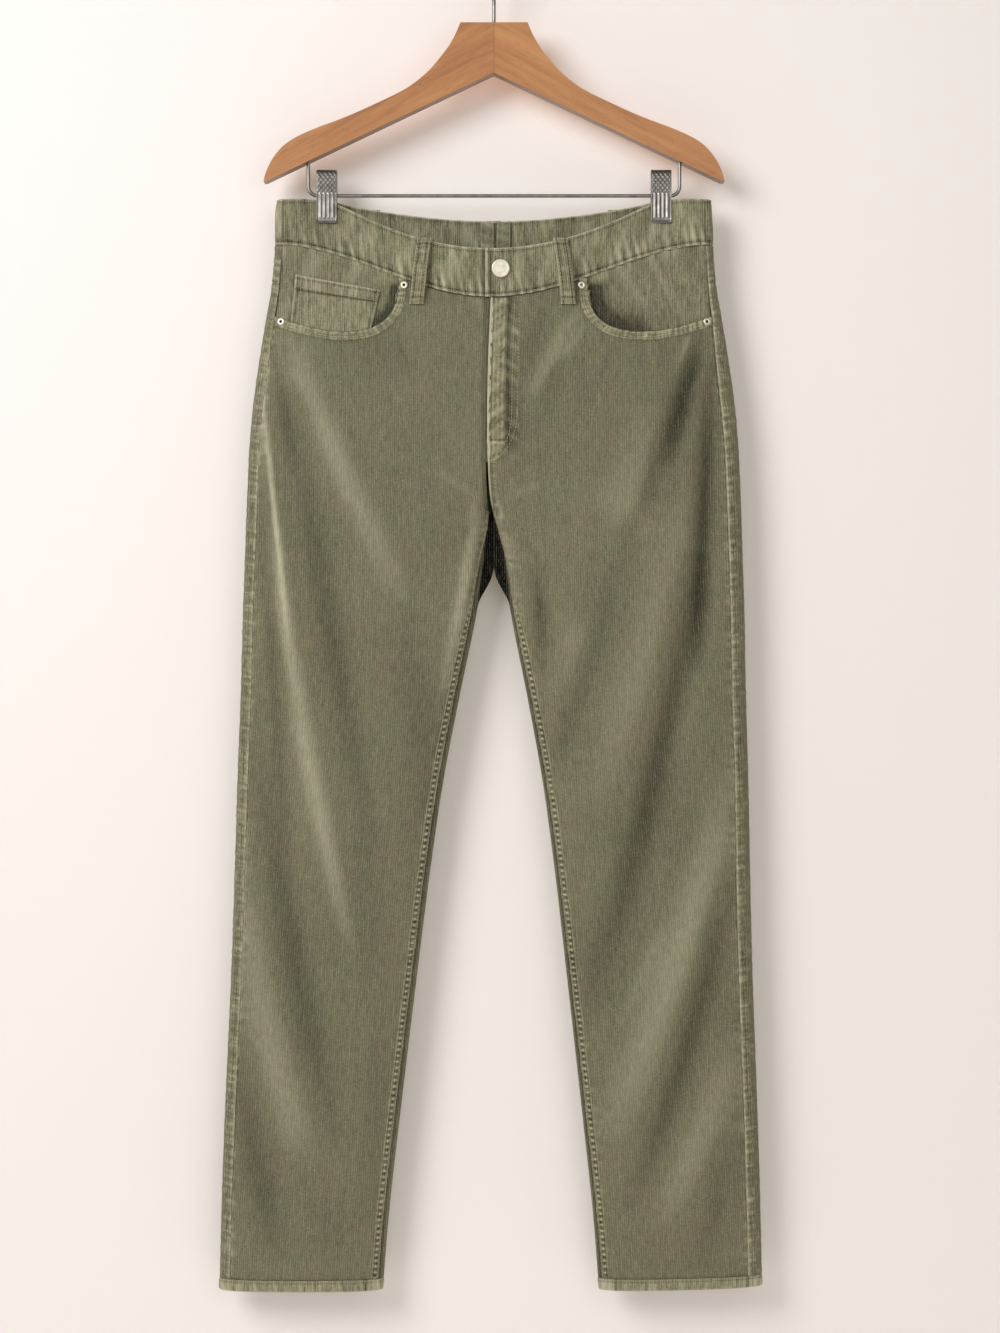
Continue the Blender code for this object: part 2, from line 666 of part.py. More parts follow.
def build_loops():
    for side, name in SIDE_NAMES.items():
        x0, x1 = side * LOOP_TOP[0], side * LOOP_FOOT[0]
        belt_loop("front_" + name, band_front, x0, LOOP_TOP[1], x1, LOOP_FOOT[1])
        top = float(back_top(np.array(BACK_LOOP_X))) - 0.001
        x = side * BACK_LOOP_X
        belt_loop("back_" + name, across_back, x, top, x, top + BACK_LOOP_LENGTH)
    top = BACK_DIP - 0.001
    belt_loop("back_centre", across_back, 0.0, top, 0.0, top + BACK_LOOP_LENGTH)


# ---------------------------------------------------------------- pockets and fly
def build_fly():
    """J-shaped placket behind the fly's edge, from the waistband seam down."""
    s = np.linspace(0, 1, 9)[:, None]
    w = np.linspace(0, 1, 5)[None, :]
    foot = FLY_END_DROP
    top = front_seam(np.array(0.01)) + 0.0030
    drop = top + (foot - top) * s
    narrowing = np.sqrt(np.clip(1 - np.clip((s - 0.72) / 0.30, 0, 1) ** 2, 0, 1))
    u = -0.006 + (FLY_WIDTH + 0.003) * narrowing * w
    points = band_front(u, drop + 0 * w, -(WALL + 2 * LAY_GAP))
    cloth("fly_placket", points, WALL, CORD)


def facing_grid(side, depth):
    """Sheet under the pocket mouth, from the waistband seam and the side seam to past the mouth."""
    angle = np.linspace(0, math.pi / 2, 9)
    mouth_x, mouth_drop = pocket_mouth(side, angle)
    outward_x = -np.cos(angle) * FACING_TUCK
    outward_drop = np.sin(angle) * FACING_TUCK
    edge_x = mouth_x + outward_x
    edge_drop = mouth_drop + outward_drop
    limit = outseam_x(side, edge_drop) + FACING_OVERRUN
    edge_x = np.minimum(edge_x, limit)
    s = np.linspace(0, 1, 8)[:, None]
    top_end = outseam_x(side, BAND_SIDE_DROP) + FACING_OVERRUN
    top_x = edge_x[0] + (top_end - edge_x[0]) * np.linspace(0, 1, 9)
    top_drop = front_seam(top_x) + 0.0008
    edge_drop = np.maximum(edge_drop, top_drop + 0.004)
    x = top_x + (edge_x - top_x) * s
    drop = top_drop + (edge_drop - top_drop) * s
    return left_to_right(side, on_front(side, x, drop, -depth))


def build_pockets():
    for side, name in SIDE_NAMES.items():
        cloth("pocket_facing_" + name, facing_grid(side, FACING_DEPTH), WALL, CORD)
        s = np.linspace(0, 1, 7)[:, None]
        w = np.linspace(0, 1, 7)[None, :]
        taper = PATCH_TAPER * s
        x = PATCH_INNER + taper + (PATCH_OUTER - PATCH_INNER - 2 * taper) * w
        point = PATCH_POINT * (1 - np.abs(2 * w - 1))
        drop = PATCH_TOP + (PATCH_FOOT - PATCH_TOP) * s + point * s**3
        points = on_back(side, x, drop, WALL + LAY_GAP)
        points = points[:, ::-1] if side == LEFT else points
        cloth("back_pocket_" + name, points, WALL, CORD)
    corners = np.array(COIN_CORNERS)
    s = np.linspace(0, 1, 4)[:, None, None]
    w = np.linspace(0, 1, 7)[None, :, None]
    top = corners[0] + (corners[1] - corners[0]) * w
    foot = corners[3] + (corners[2] - corners[3]) * w
    grid = top + (foot - top) * s
    points = on_front(RIGHT, grid[..., 0], grid[..., 1], -COIN_DEPTH)
    cloth("coin_pocket", left_to_right(RIGHT, points), WALL, CORD)


def build_hems():
    turns = np.concatenate([HEM_TURNS, HEM_TURNS[1:-1] + math.pi])
    for side, name in SIDE_NAMES.items():
        low = np.array([0, 0.5, 1])[:, None]
        drop = TROUSER_LENGTH - HEM_DEPTH * (1 - low) + 0 * turns
        x = np.abs(form(side, turns, drop)[..., 0])
        drop = hem_drop(side, x) - HEM_DEPTH * (1 - low)
        points = surface(side, turns + 0 * drop, drop)
        points = points if side == RIGHT else points[:, ::-1]
        cloth("hem_" + name, points, BAND_WALL, CORD, closed=True)


def build_labels():
    s = np.linspace(0, 1, 4)[:, None]
    w = np.linspace(0, 1, 3)[None, :]
    for side, name, (x0, x1, foot), look in (
        (RIGHT, "inner_label", LABEL_SPAN, LABEL),
        (LEFT, "inner_tab", TAB_SPAN, TAB),
    ):
        x = x0 + (x1 - x0) * w
        drop = BACK_DIP + 0.0015 + (foot - BACK_DIP - 0.0015) * s + 0 * w
        points = on_back(side, x + 0 * s, drop, -(BAND_WALL + 0.0005))
        points = points if side == RIGHT else points[:, ::-1]
        cloth(name, points, LABEL_WALL, look)


# ---------------------------------------------------------------- button and rivets
def outward(place):
    """A point of the front and the direction straight out of it."""
    base, above = place(0.0), place(0.001)
    return Vector(base), Vector(above - base).normalized()


def build_hardware():
    base, axis = outward(lambda lift: band_front(BUTTON_U, BUTTON_DROP, lift))
    turned("button", BUTTON_PROFILE, base + axis * BUTTON_SEAT, axis, NICKEL, steps=24)
    for side, name in SIDE_NAMES.items():
        for (x, drop), place in zip(RIVETS, ("upper", "lower")):
            base, axis = outward(lambda lift: on_front(side, x, drop, lift))
            base = base + axis * RIVET_SEAT
            turned("rivet_" + place + "_" + name, RIVET_PROFILE, base, axis, NICKEL)


# ---------------------------------------------------------------- hanger


def wood_foot(x):
    """Height of the wood's straight lower edge."""
    return WAIST_TOP_Z + WOOD_TOP - WOOD_FOOT_MIDDLE - WOOD_SLOPE * x


def build_wood():
    top = WAIST_TOP_Z + WOOD_TOP
    right = [(x, top - d) for x, d in WOOD_EDGE_POINTS]
    right.append((WOOD_PEAK_X, wood_foot(WOOD_PEAK_X)))
    outline = right + [(-x, z) for x, z in reversed(right)]
    curve = bpy.data.curves.new("hanger_wood_outline", "CURVE")
    curve.dimensions = "2D"
    curve.fill_mode = "BOTH"
    curve.extrude = WOOD_THICK / 2
    spline = curve.splines.new("POLY")
    spline.points.add(len(outline) - 1)
    for point, (x, z) in zip(spline.points, outline):
        point.co = (x, z, 0, 1)
    spline.use_cyclic_u = True
    shape = bpy.data.objects.new("outline", curve)
    PARTS.objects.link(shape)
    bpy.context.view_layer.update()
    mesh = bpy.data.meshes.new_from_object(shape)
    bpy.data.objects.remove(shape, do_unlink=True)
    bm = bmesh.new()
    bm.from_mesh(mesh)
    bmesh.ops.remove_doubles(bm, verts=bm.verts, dist=0.00001)
    bmesh.ops.dissolve_limit(
        bm, angle_limit=math.radians(1), verts=list(bm.verts), edges=list(bm.edges)
    )
    bm.to_mesh(mesh)
    bm.free()
    mesh.transform(Matrix.Rotation(math.pi / 2, 4, "X"))
    mesh.materials.clear()
    wood = add_object("hanger_wood", mesh, WOOD)
    round_over = wood.modifiers.new("rounded_edges", "BEVEL")
    round_over.width = WOOD_EDGE
    round_over.segments = 3
    round_over.limit_method = "ANGLE"
    round_over.angle_limit = math.radians(50)
    holes = [("hook_hole", 0.0, top - HOOK_HOLE / 2 + 0.0005, HOOK_HOLE)]
    bar_z = wood_foot(BAR_HALF) + 0.0035
    holes.append(("bar_hole_left", BAR_HALF, bar_z, BAR_HOLE))
    holes.append(("bar_hole_right", -BAR_HALF, bar_z, BAR_HOLE))
    for name, x, z, length in holes:
        matrix = Matrix.Translation((x, 0, z))
        cut(wood, cutter(name, cylinder_mesh(name, WIRE_R + HOLE_SPARE, length, matrix)))


def arc(centre, radius, start, end, count):
    angles = np.radians(np.linspace(start, end, count))
    return [(centre[0] + radius * math.cos(a), 0, centre[1] + radius * math.sin(a)) for a in angles]


def build_wires():
    top = WAIST_TOP_Z + WOOD_TOP
    middle = -(HOOK_R - WIRE_R)
    points = arc((0, middle), HOOK_R, HOOK_OPEN, HOOK_NECK, 30)
    turn = math.radians(HOOK_NECK)
    start, end = np.array(points[-1]), np.array([0, 0, middle - NECK_DROP])
    leave = NECK_PULL * np.array([math.sin(turn), 0, -math.cos(turn)])
    arrive = np.array([0, 0, -NECK_PULL])
    for t in np.linspace(0, 1, 9)[1:]:
        from_start, to_end = 2 * t**3 - 3 * t**2 + 1, 3 * t**2 - 2 * t**3
        pull, settle = t**3 - 2 * t**2 + t, t**3 - t**2
        points.append(tuple(from_start * start + pull * leave + to_end * end + settle * arrive))
    points.append((0, 0, top - HOOK_IN_WOOD))
    wire("hook", points, WIRE_R, STEEL)
    bar = WAIST_TOP_Z + BAR_Z
    head = wood_foot(BAR_HALF) + BAR_IN_WOOD
    corner = BAR_HALF - BAR_BEND
    points = [(-BAR_HALF, 0, head)]
    points += arc((-corner, bar + BAR_BEND), BAR_BEND, 180, 270, 6)
    points += arc((corner, bar + BAR_BEND), BAR_BEND, 270, 360, 6)
    points.append((BAR_HALF, 0, head))
    wire("drop_bar", points, WIRE_R, STEEL)


def build_clips():
    """Each clip is one folded strip: front jaw, bend over the bar, and back jaw."""
    for side, name in SIDE_NAMES.items():
        path = [(-y, z) for y, z in CLIP_PATH] + CLIP_PATH[-2::-1]
        bm = bmesh.new()
        columns = []
        for x in (-CLIP_WIDTH / 2, CLIP_WIDTH / 2):
            x += side * CLIP_X
            columns.append([bm.verts.new((x, y, WAIST_TOP_Z + z)) for y, z in path])
        for a in range(len(path) - 1):
            left, right = columns
            bm.faces.new((left[a], right[a], right[a + 1], left[a + 1]))
        mesh = bpy.data.meshes.new("clip_" + name)
        bm.to_mesh(mesh)
        bm.free()
        obj = add_object("clip_" + name, mesh, STEEL)
        shell = obj.modifiers.new("sheet", "SOLIDIFY")
        shell.thickness = CLIP_SHEET
        shell.offset = 1
        shell.use_even_offset = True


CORD = WOOD = STEEL = NICKEL = LABEL = TAB = PARTS = CUTTERS = None


def main():
    global CORD, WOOD, STEEL, NICKEL, LABEL, TAB, PARTS, CUTTERS
    clear_scene()
    PARTS = collection("corduroy_trousers")
    CUTTERS = collection("cutters", hidden=True)
    CORD = material("corduroy", (0.17, 0.16, 0.10), 0.9)
    WOOD = material("varnished_wood", (0.45, 0.21, 0.08), 0.4)
    STEEL = material("plated_steel", (0.55, 0.54, 0.52), 0.3, 1.0)
    NICKEL = material("nickel", (0.60, 0.58, 0.52), 0.35, 1.0)
    LABEL = material("label_weave", (0.30, 0.26, 0.27), 0.8)
    TAB = material("tab_weave", (0.12, 0.17, 0.08), 0.8)
    build_legs()
    build_waistband()
    build_loops()
    build_fly()
    build_pockets()
    build_hems()
    build_labels()
    build_hardware()
    build_wood()
    build_wires()
    build_clips()


main()
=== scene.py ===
"""Corduroy trousers clipped to a wooden hanger: how each piece looks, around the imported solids.

The sections follow the making: the cut cloth, the seams and stitches, the metal, then the
hanger and its clips, and last the room. Sizes are in metres, +Z is up and the front faces -Y.
A place on the cloth is a distance from the centre line and a drop below the waistband's top.
"""

import math

import bpy
import numpy as np
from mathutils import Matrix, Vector
from mathutils.bvhtree import BVHTree


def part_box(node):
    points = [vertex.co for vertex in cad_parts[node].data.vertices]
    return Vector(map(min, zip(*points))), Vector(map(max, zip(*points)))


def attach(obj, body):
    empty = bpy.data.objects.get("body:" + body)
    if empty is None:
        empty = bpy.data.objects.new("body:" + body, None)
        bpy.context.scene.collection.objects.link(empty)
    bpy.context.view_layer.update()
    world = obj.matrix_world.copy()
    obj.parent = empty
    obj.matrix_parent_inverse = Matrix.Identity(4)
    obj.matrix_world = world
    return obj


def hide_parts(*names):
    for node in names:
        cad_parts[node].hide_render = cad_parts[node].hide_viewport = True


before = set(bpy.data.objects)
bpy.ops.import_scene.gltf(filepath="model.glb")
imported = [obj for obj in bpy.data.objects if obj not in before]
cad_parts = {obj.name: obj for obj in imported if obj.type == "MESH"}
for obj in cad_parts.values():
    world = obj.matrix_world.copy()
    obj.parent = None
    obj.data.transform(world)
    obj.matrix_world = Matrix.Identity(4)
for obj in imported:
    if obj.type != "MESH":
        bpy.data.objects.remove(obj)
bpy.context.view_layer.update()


# ---------------------------------------------------------------- fronts
# Two front legs of fine-wale cotton corduroy, each one piece from the waistband and the pocket
# mouth to the hem. They hang as a flattened tube for each leg that joins into one at the hips,
# with soft folds, rolled edges and puckers where the seams draw the cloth in.
WAIST_TOP_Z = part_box("waistband_back")[1].z
TROUSER_LENGTH = 1.056
CROTCH_DROP = 0.298
HIP_DROP = 0.200
WALL = 0.0014
SEAM_GAP = 0.0003
EDGE_ROLL = 0.0012
PAINTED_FOLD_LIFT = 0.0028  # how far the crest of a painted fold row stands up
CREASE_LIGHT_AND_SHADE = 170  # how much paler a crease's crest and darker its valley are painted, as light and shade, per metre of its height
RIGHT, LEFT = -1, 1
SIDE_NAMES = {RIGHT: "right", LEFT: "left"}

LEVELS = np.array(
    [
        # drop, outer edge, inner edge, half depth in front and behind
        (0.000, 0.2105, 0.00015, 0.0120, 0.0120),
        (0.045, 0.2120, 0.00015, 0.0140, 0.0140),
        (0.085, 0.2155, 0.00015, 0.0165, 0.0175),
        (0.120, 0.2215, 0.00015, 0.0185, 0.0210),
        (0.160, 0.2280, 0.00015, 0.0205, 0.0245),
        (0.200, 0.2335, 0.00015, 0.0215, 0.0270),
        (0.240, 0.2370, 0.00015, 0.0220, 0.0285),
        (0.298, 0.2395, 0.00100, 0.0225, 0.0280),
        (0.340, 0.2410, 0.00750, 0.0225, 0.0265),
        (0.400, 0.2430, 0.01650, 0.0220, 0.0250),
        (0.485, 0.2450, 0.03350, 0.0210, 0.0230),
        (0.560, 0.2475, 0.04750, 0.0200, 0.0215),
        (0.640, 0.2495, 0.05900, 0.0190, 0.0200),
        (0.760, 0.2530, 0.07350, 0.0180, 0.0185),
        (0.880, 0.2580, 0.08750, 0.0170, 0.0170),
        (0.990, 0.2615, 0.09950, 0.0165, 0.0160),
        (1.060, 0.2630, 0.10500, 0.0160, 0.0155),
    ]
)
DROP, OUTER, INNER, FRONT, BACK = LEVELS.T
ROUNDNESS = 0.8
SLACK_HALF = 0.163
CENTRE_BULGE = 0.0215
CROTCH_GAP = -0.0002  # behind the crotch the backs sag together until their edges meet
SIDE_BULGE = 0.0085
CLIP_X = 0.162
CLIP_BULGE = 0.0030
CLIP_SPREAD = 0.017
CLIP_REACH = 0.024
SWAY = -0.0030
FLY_EDGE = -0.0030
FLY_SHIFT = -0.0040
OUTSEAM_FORWARD = {RIGHT: 0.0110, LEFT: 0.0145}
OUTSEAM_TOP = 0.0070
INSEAM_FORWARD = {RIGHT: 0.0045, LEFT: 0.0032}
HEM_DEPTH = 0.0115
HEM_TILT = {RIGHT: 0.0000, LEFT: 0.0040}
BAND_SIDE_DROP = 0.0445
SEAM_HALF = 0.215
BAND_FRONT_DROP = 0.097
MOUTH_START_X = 0.0915
MOUTH_SINK = 0.0685
MOUTH_LIFT = 0.0315
MOUTH_BAND = 0.0088
FLY_BAND = 0.0170
FLY_FOOT = 0.256
FLY_JOIN = 0.2345

FOLDS = {
    # for a side and a face: from x and drop, to x and drop, bow, half width, height
    (RIGHT, "front"): [
        (0.204, 0.130, 0.092, 0.420, -0.006, 0.017, 0.0040),
        (0.222, 0.190, 0.160, 0.640, 0.008, 0.016, 0.0042),
        (0.205, 0.640, 0.150, 0.880, 0.004, 0.016, -0.0040),
        (0.238, 0.820, 0.185, 1.030, 0.003, 0.014, -0.0034),
        (0.014, 0.300, 0.050, 0.470, 0.004, 0.010, 0.0026),
    ],
    (LEFT, "front"): [
        (0.200, 0.135, 0.130, 0.350, 0.004, 0.011, -0.0044),
        (0.216, 0.225, 0.122, 0.680, 0.018, 0.014, -0.0050),
        (0.226, 0.690, 0.145, 0.975, 0.006, 0.015, -0.0044),
        (0.090, 0.480, 0.058, 0.560, 0.002, 0.010, -0.0028),
        (0.046, 0.330, 0.042, 0.470, 0.003, 0.008, -0.0028),
    ],
    (RIGHT, "back"): [
        (0.030, 0.330, 0.190, 0.450, 0.010, 0.018, -0.0045),
        (0.060, 0.560, 0.215, 0.680, -0.006, 0.016, -0.0036),
    ],
    (LEFT, "back"): [
        (0.026, 0.320, 0.185, 0.470, 0.012, 0.017, -0.0048),
        (0.080, 0.620, 0.205, 0.760, -0.008, 0.018, -0.0034),
    ],
}
SMALL_CREASES = {
    # the same columns, for sharper creases that lie on the folds
    (RIGHT, "front"): [
        (0.012, 0.270, 0.070, 0.225, 0.002, 0.0050, -0.0009),
        (0.010, 0.292, 0.060, 0.262, 0.003, 0.0045, 0.0008),
        (0.012, 0.310, 0.050, 0.350, 0.003, 0.0045, -0.0010),
        (0.020, 0.335, 0.035, 0.420, 0.002, 0.0040, 0.0009),
        (0.206, 0.128, 0.196, 0.190, 0.004, 0.0045, 0.0014),
        (0.150, 0.135, 0.120, 0.210, 0.003, 0.0060, -0.0009),
        (0.098, 0.118, 0.070, 0.180, 0.002, 0.0050, -0.0009),
        (0.215, 0.400, 0.180, 0.520, 0.003, 0.0070, -0.0010),
        (0.120, 0.520, 0.090, 0.640, 0.002, 0.0070, 0.0009),
    ],
    (LEFT, "front"): [
        (0.012, 0.272, 0.066, 0.238, 0.002, 0.0050, -0.0009),
        (0.010, 0.296, 0.058, 0.275, 0.003, 0.0045, 0.0008),
        (0.014, 0.318, 0.062, 0.372, 0.003, 0.0045, -0.0011),
        (0.030, 0.350, 0.052, 0.430, 0.002, 0.0040, -0.0009),
        (0.200, 0.122, 0.188, 0.185, 0.003, 0.0050, -0.0013),
        (0.118, 0.132, 0.088, 0.215, 0.003, 0.0060, -0.0010),
        (0.092, 0.118, 0.060, 0.165, 0.002, 0.0050, 0.0009),
        (0.205, 0.450, 0.165, 0.560, 0.003, 0.0070, 0.0010),
        (0.165, 0.700, 0.120, 0.800, 0.002, 0.0080, 0.0009),
    ],
    (RIGHT, "back"): [
        (0.012, 0.290, 0.120, 0.330, 0.004, 0.0060, -0.0012),
        (0.016, 0.325, 0.100, 0.385, 0.004, 0.0060, 0.0010),
        (0.070, 0.530, 0.180, 0.555, 0.004, 0.0070, -0.0010),
    ],
    (LEFT, "back"): [
        (0.012, 0.295, 0.130, 0.325, 0.004, 0.0060, -0.0012),
        (0.018, 0.340, 0.090, 0.410, 0.004, 0.0060, 0.0010),
        (0.090, 0.560, 0.200, 0.590, 0.004, 0.0070, -0.0010),
    ],
}

PAINTED_FOLDS = {
    # the same columns, but the last is how pale a fold's crest is painted as highlight, above 0,
    # and how dark its valley is painted as shade, below 0
    (RIGHT, "front"): [
        (0.205, 0.124, 0.080, 0.400, 0.002, 0.013, 0.36),
        (0.214, 0.100, 0.224, 0.260, 0.004, 0.005, 0.45),
        (0.210, 0.125, 0.192, 0.270, 0.002, 0.008, -0.55),
        (0.2240, 0.185, 0.1960, 0.430, 0.000, 0.0030, 0.80),
        (0.214, 0.300, 0.128, 0.740, 0.010, 0.010, 0.52),
        (0.226, 0.260, 0.196, 0.640, 0.002, 0.0075, -0.48),
        (0.194, 0.180, 0.110, 0.640, 0.006, 0.016, -0.62),
        (0.232, 0.500, 0.142, 0.930, 0.006, 0.015, -0.62),
        (0.250, 0.620, 0.150, 1.000, 0.014, 0.019, 0.29),
        (0.244, 0.820, 0.200, 1.040, 0.004, 0.016, -0.50),
        (0.190, 0.900, 0.140, 1.050, 0.000, 0.016, -0.22),
        (0.090, 0.390, 0.052, 0.600, 0.000, 0.019, -0.33),
        (0.0125, 0.282, 0.052, 0.490, -0.002, 0.0065, 0.55),
        (0.170, 0.118, 0.060, 0.165, 0.004, 0.022, -0.28),
        (0.130, 0.600, 0.100, 0.800, 0.000, 0.022, -0.25),
        (0.110, 0.780, 0.112, 1.000, 0.000, 0.014, -0.25),
    ],
    (LEFT, "front"): [
        (0.082, 0.106, 0.034, 0.205, 0.000, 0.0085, 0.27),
        (0.054, 0.106, 0.026, 0.185, 0.000, 0.009, -0.42),
        (0.070, 0.150, 0.040, 0.235, 0.000, 0.008, -0.25),
        (0.199, 0.126, 0.166, 0.260, 0.001, 0.0095, -0.52),
        (0.190, 0.126, 0.176, 0.170, 0.001, 0.0040, 0.45),
        (0.156, 0.195, 0.060, 0.490, 0.004, 0.023, 0.26),
        (0.196, 0.145, 0.148, 0.310, 0.002, 0.013, -0.55),
        (0.196, 0.250, 0.092, 0.600, 0.006, 0.022, 0.22),
        (0.210, 0.150, 0.196, 0.460, 0.000, 0.010, -0.95),
        (0.194, 0.340, 0.082, 0.800, 0.016, 0.018, -0.78),
        (0.234, 0.540, 0.104, 0.920, 0.010, 0.020, 0.37),
        (0.232, 0.640, 0.128, 0.985, 0.012, 0.015, -0.70),
        (0.240, 0.800, 0.155, 1.000, 0.006, 0.017, 0.24),
        (0.236, 0.900, 0.200, 1.040, 0.000, 0.014, -0.38),
        (0.134, 0.300, 0.056, 0.560, 0.004, 0.011, -0.50),
        (0.044, 0.350, 0.048, 0.470, 0.000, 0.008, -0.55),
        (0.008, 0.300, 0.030, 0.480, -0.002, 0.009, 0.24),
        (0.030, 0.180, 0.022, 0.250, 0.000, 0.009, -0.50),
        (0.110, 0.300, 0.085, 0.420, 0.000, 0.016, -0.28),
    ],
    (RIGHT, "back"): [
        (0.020, 0.310, 0.190, 0.450, 0.010, 0.022, -0.55),
        (0.030, 0.350, 0.150, 0.500, 0.004, 0.019, 0.24),
        (0.060, 0.560, 0.215, 0.680, -0.006, 0.020, -0.47),
        (0.080, 0.600, 0.200, 0.760, 0.000, 0.020, 0.23),
        (0.120, 0.850, 0.230, 1.020, 0.004, 0.018, -0.38),
    ],
    (LEFT, "back"): [
        (0.020, 0.310, 0.185, 0.470, 0.012, 0.022, -0.55),
        (0.028, 0.345, 0.140, 0.540, 0.004, 0.019, 0.23),
        (0.080, 0.620, 0.205, 0.760, -0.008, 0.020, -0.50),
        (0.090, 0.680, 0.220, 0.860, 0.000, 0.020, 0.23),
        (0.110, 0.900, 0.210, 1.020, 0.004, 0.016, -0.38),
    ],
}


def ease(value, low, high):
    """0 below low, 1 above high, and the cubic 3t2 - 2t3 between."""
    t = np.clip((value - low) / (high - low), 0, 1)
    return t * t * (3 - 2 * t)


def bump(value, width):
    """A soft hump: exp of minus the square of value over width."""
    return np.exp(-((value / width) ** 2))


def along(table, drop):
    """A column of LEVELS at any drop: cubic between its rows, with the rows' own slopes."""
    slope = np.gradient(table, DROP)
    drop = np.clip(drop, DROP[0], DROP[-1])
    i = np.clip(np.searchsorted(DROP, drop, side="right") - 1, 0, len(DROP) - 2)
    step = DROP[i + 1] - DROP[i]
    t = (drop - DROP[i]) / step
    return (
        table[i] * (1 + 2 * t) * (1 - t) ** 2
        + slope[i] * step * t * (1 - t) ** 2
        + table[i + 1] * t**2 * (3 - 2 * t)
        - slope[i + 1] * step * t**2 * (1 - t)
    )


def waist_depth(x, drop):
    """Half depth at the waist: a squared cosine of slack between the clips, less their pinch."""
    slack = np.cos(math.pi / 2 * np.minimum(np.abs(x) / SLACK_HALF, 1)) ** 2
    depth = SIDE_BULGE + (CENTRE_BULGE - SIDE_BULGE) * slack
    pinch = np.exp(-(((np.abs(x) - CLIP_X) / CLIP_SPREAD) ** 4))
    pinch = pinch * (1 - ease(drop, CLIP_REACH, 2.2 * CLIP_REACH))
    return depth + (CLIP_BULGE - depth) * pinch


def fold_height(folds, side, front, x, drop):
    """Sum of the folds of one leg: each a bump across its bowed line, fading to its two ends."""
    total = np.zeros_like(x)
    for face, shown in (("front", front), ("back", np.logical_not(front))):
        for x0, drop0, x1, drop1, bow, width, height in folds[side, face]:
            run = math.hypot(x1 - x0, drop1 - drop0)
            ux, ud = (x1 - x0) / run, (drop1 - drop0) / run
            u = ((x - x0) * ux + (drop - drop0) * ud) / run
            window = np.clip(4 * u * (1 - u), 0, 1) ** 0.7
            across = (x - x0) * ud - (drop - drop0) * ux - bow * window
            total += np.where(shown, height * window * bump(across, width), 0)
    return total


def form(side, tau, drop):
    """Outer surface of one leg and its half of the hips.

    tau runs round a superellipse: 0 at the outer edge, 90 degrees in front, 180 at the inner
    edge, below zero behind. Above the crotch it is half of a superellipse over both legs.
    """
    tau, drop = np.broadcast_arrays(np.asarray(tau, float), np.asarray(drop, float))
    outer, inner = along(OUTER, drop), along(INNER, drop)
    cosine, sine = np.cos(tau), np.sin(tau)
    sag = np.maximum(inner - CROTCH_GAP, 0) * ease(drop, 0.395, 0.355) * ease(-sine, 0, 0.05)
    inner = inner - sag
    xi = np.sign(cosine) * np.abs(cosine) ** ROUNDNESS
    x = (outer + inner) / 2 + (outer - inner) / 2 * xi
    front = sine >= 0
    leg = np.abs(sine) ** ROUNDNESS
    hip = np.clip(1 - np.clip(x / outer, 0, 1) ** (2 / ROUNDNESS), 0, 1) ** (ROUNDNESS / 2)
    t = np.clip((drop - HIP_DROP) / (CROTCH_DROP - HIP_DROP), 0, 1)
    inward = ease(-xi, 0.5, 1)
    parted = (1 - np.sqrt(1 - t * t)) * inward + t * t * (3 - 2 * t) * (1 - inward)
    body = np.where(front, along(FRONT, drop), along(BACK, drop))
    body = body * ((1 - parted) * hip + parted * leg)
    waist = waist_depth(x, drop) * np.sqrt(np.clip(1 - np.clip(x / outer, 0, 1) ** 24, 0, 1))
    depth = waist + (body - waist) * ease(drop, 0.040, 0.140)
    near_edge = np.clip((outer - x) / 0.02, 0, 1)
    near_edge = near_edge * (1 - parted * (1 - np.clip((x - inner) / 0.02, 0, 1)))
    depth += near_edge * fold_height(FOLDS, side, front, x, drop)
    swing = FLY_EDGE + FLY_SHIFT * np.sin(math.pi * np.clip((drop - 0.09) / 0.25, 0, 1))
    swing = swing * (1 - ease(drop, CROTCH_DROP - 0.03, CROTCH_DROP + 0.05))
    shift = np.where(front, swing * np.clip(1 - x / 0.21, 0, 1) ** 2, 0)
    points = np.empty(tau.shape + (3,))
    points[..., 0] = side * x + shift + swayed(drop)
    points[..., 1] = np.where(front, -depth, depth)
    points[..., 2] = WAIST_TOP_Z - drop
    return points


def swayed(drop):
    """How far the legs swing to one side as they hang."""
    return SWAY * ease(drop, 0.25, TROUSER_LENGTH)


def tau_at(x, drop, back=False):
    """The tau of the section at distance x from the centre line, in front or behind."""
    outer, inner = along(OUTER, drop), along(INNER, drop)
    xi = np.clip((x - (outer + inner) / 2) / ((outer - inner) / 2), -1, 1)
    tau = np.arccos(np.sign(xi) * np.abs(xi) ** (1 / ROUNDNESS))
    return -tau if back else tau


def unit_grid(rows, columns):
    """Shares from 0 to 1 down a grid's rows and across its columns."""
    return np.linspace(0, 1, rows)[:, None], np.linspace(0, 1, columns)[None, :]


def surface(side, tau, drop, lift=0.0):
    """Points of the form moved out by lift along the normal, which is a cross product of steps."""
    points = form(side, tau, drop)
    step_tau, step_drop = 1e-3, 5e-4
    across = form(side, tau + step_tau, drop) - form(side, tau - step_tau, drop)
    down = form(side, tau, drop + step_drop) - form(side, tau, drop - step_drop)
    normal = np.cross(down, across) * -side
    normal /= np.maximum(np.linalg.norm(normal, axis=-1, keepdims=True), 1e-12)
    return points + normal * np.asarray(lift, float)[..., None]


def on_front(side, x, drop, lift=0.0):
    return surface(side, tau_at(x, drop), drop, lift)


def seam_dip(x, middle):
    """A seam's drop: a squared cosine dip to its middle, between the waistband's sides."""
    dip = np.cos(math.pi / 2 * np.minimum(np.abs(x) / SEAM_HALF, 1)) ** 2
    return BAND_SIDE_DROP + (middle - BAND_SIDE_DROP) * dip


def front_seam(x):
    return seam_dip(x, BAND_FRONT_DROP)


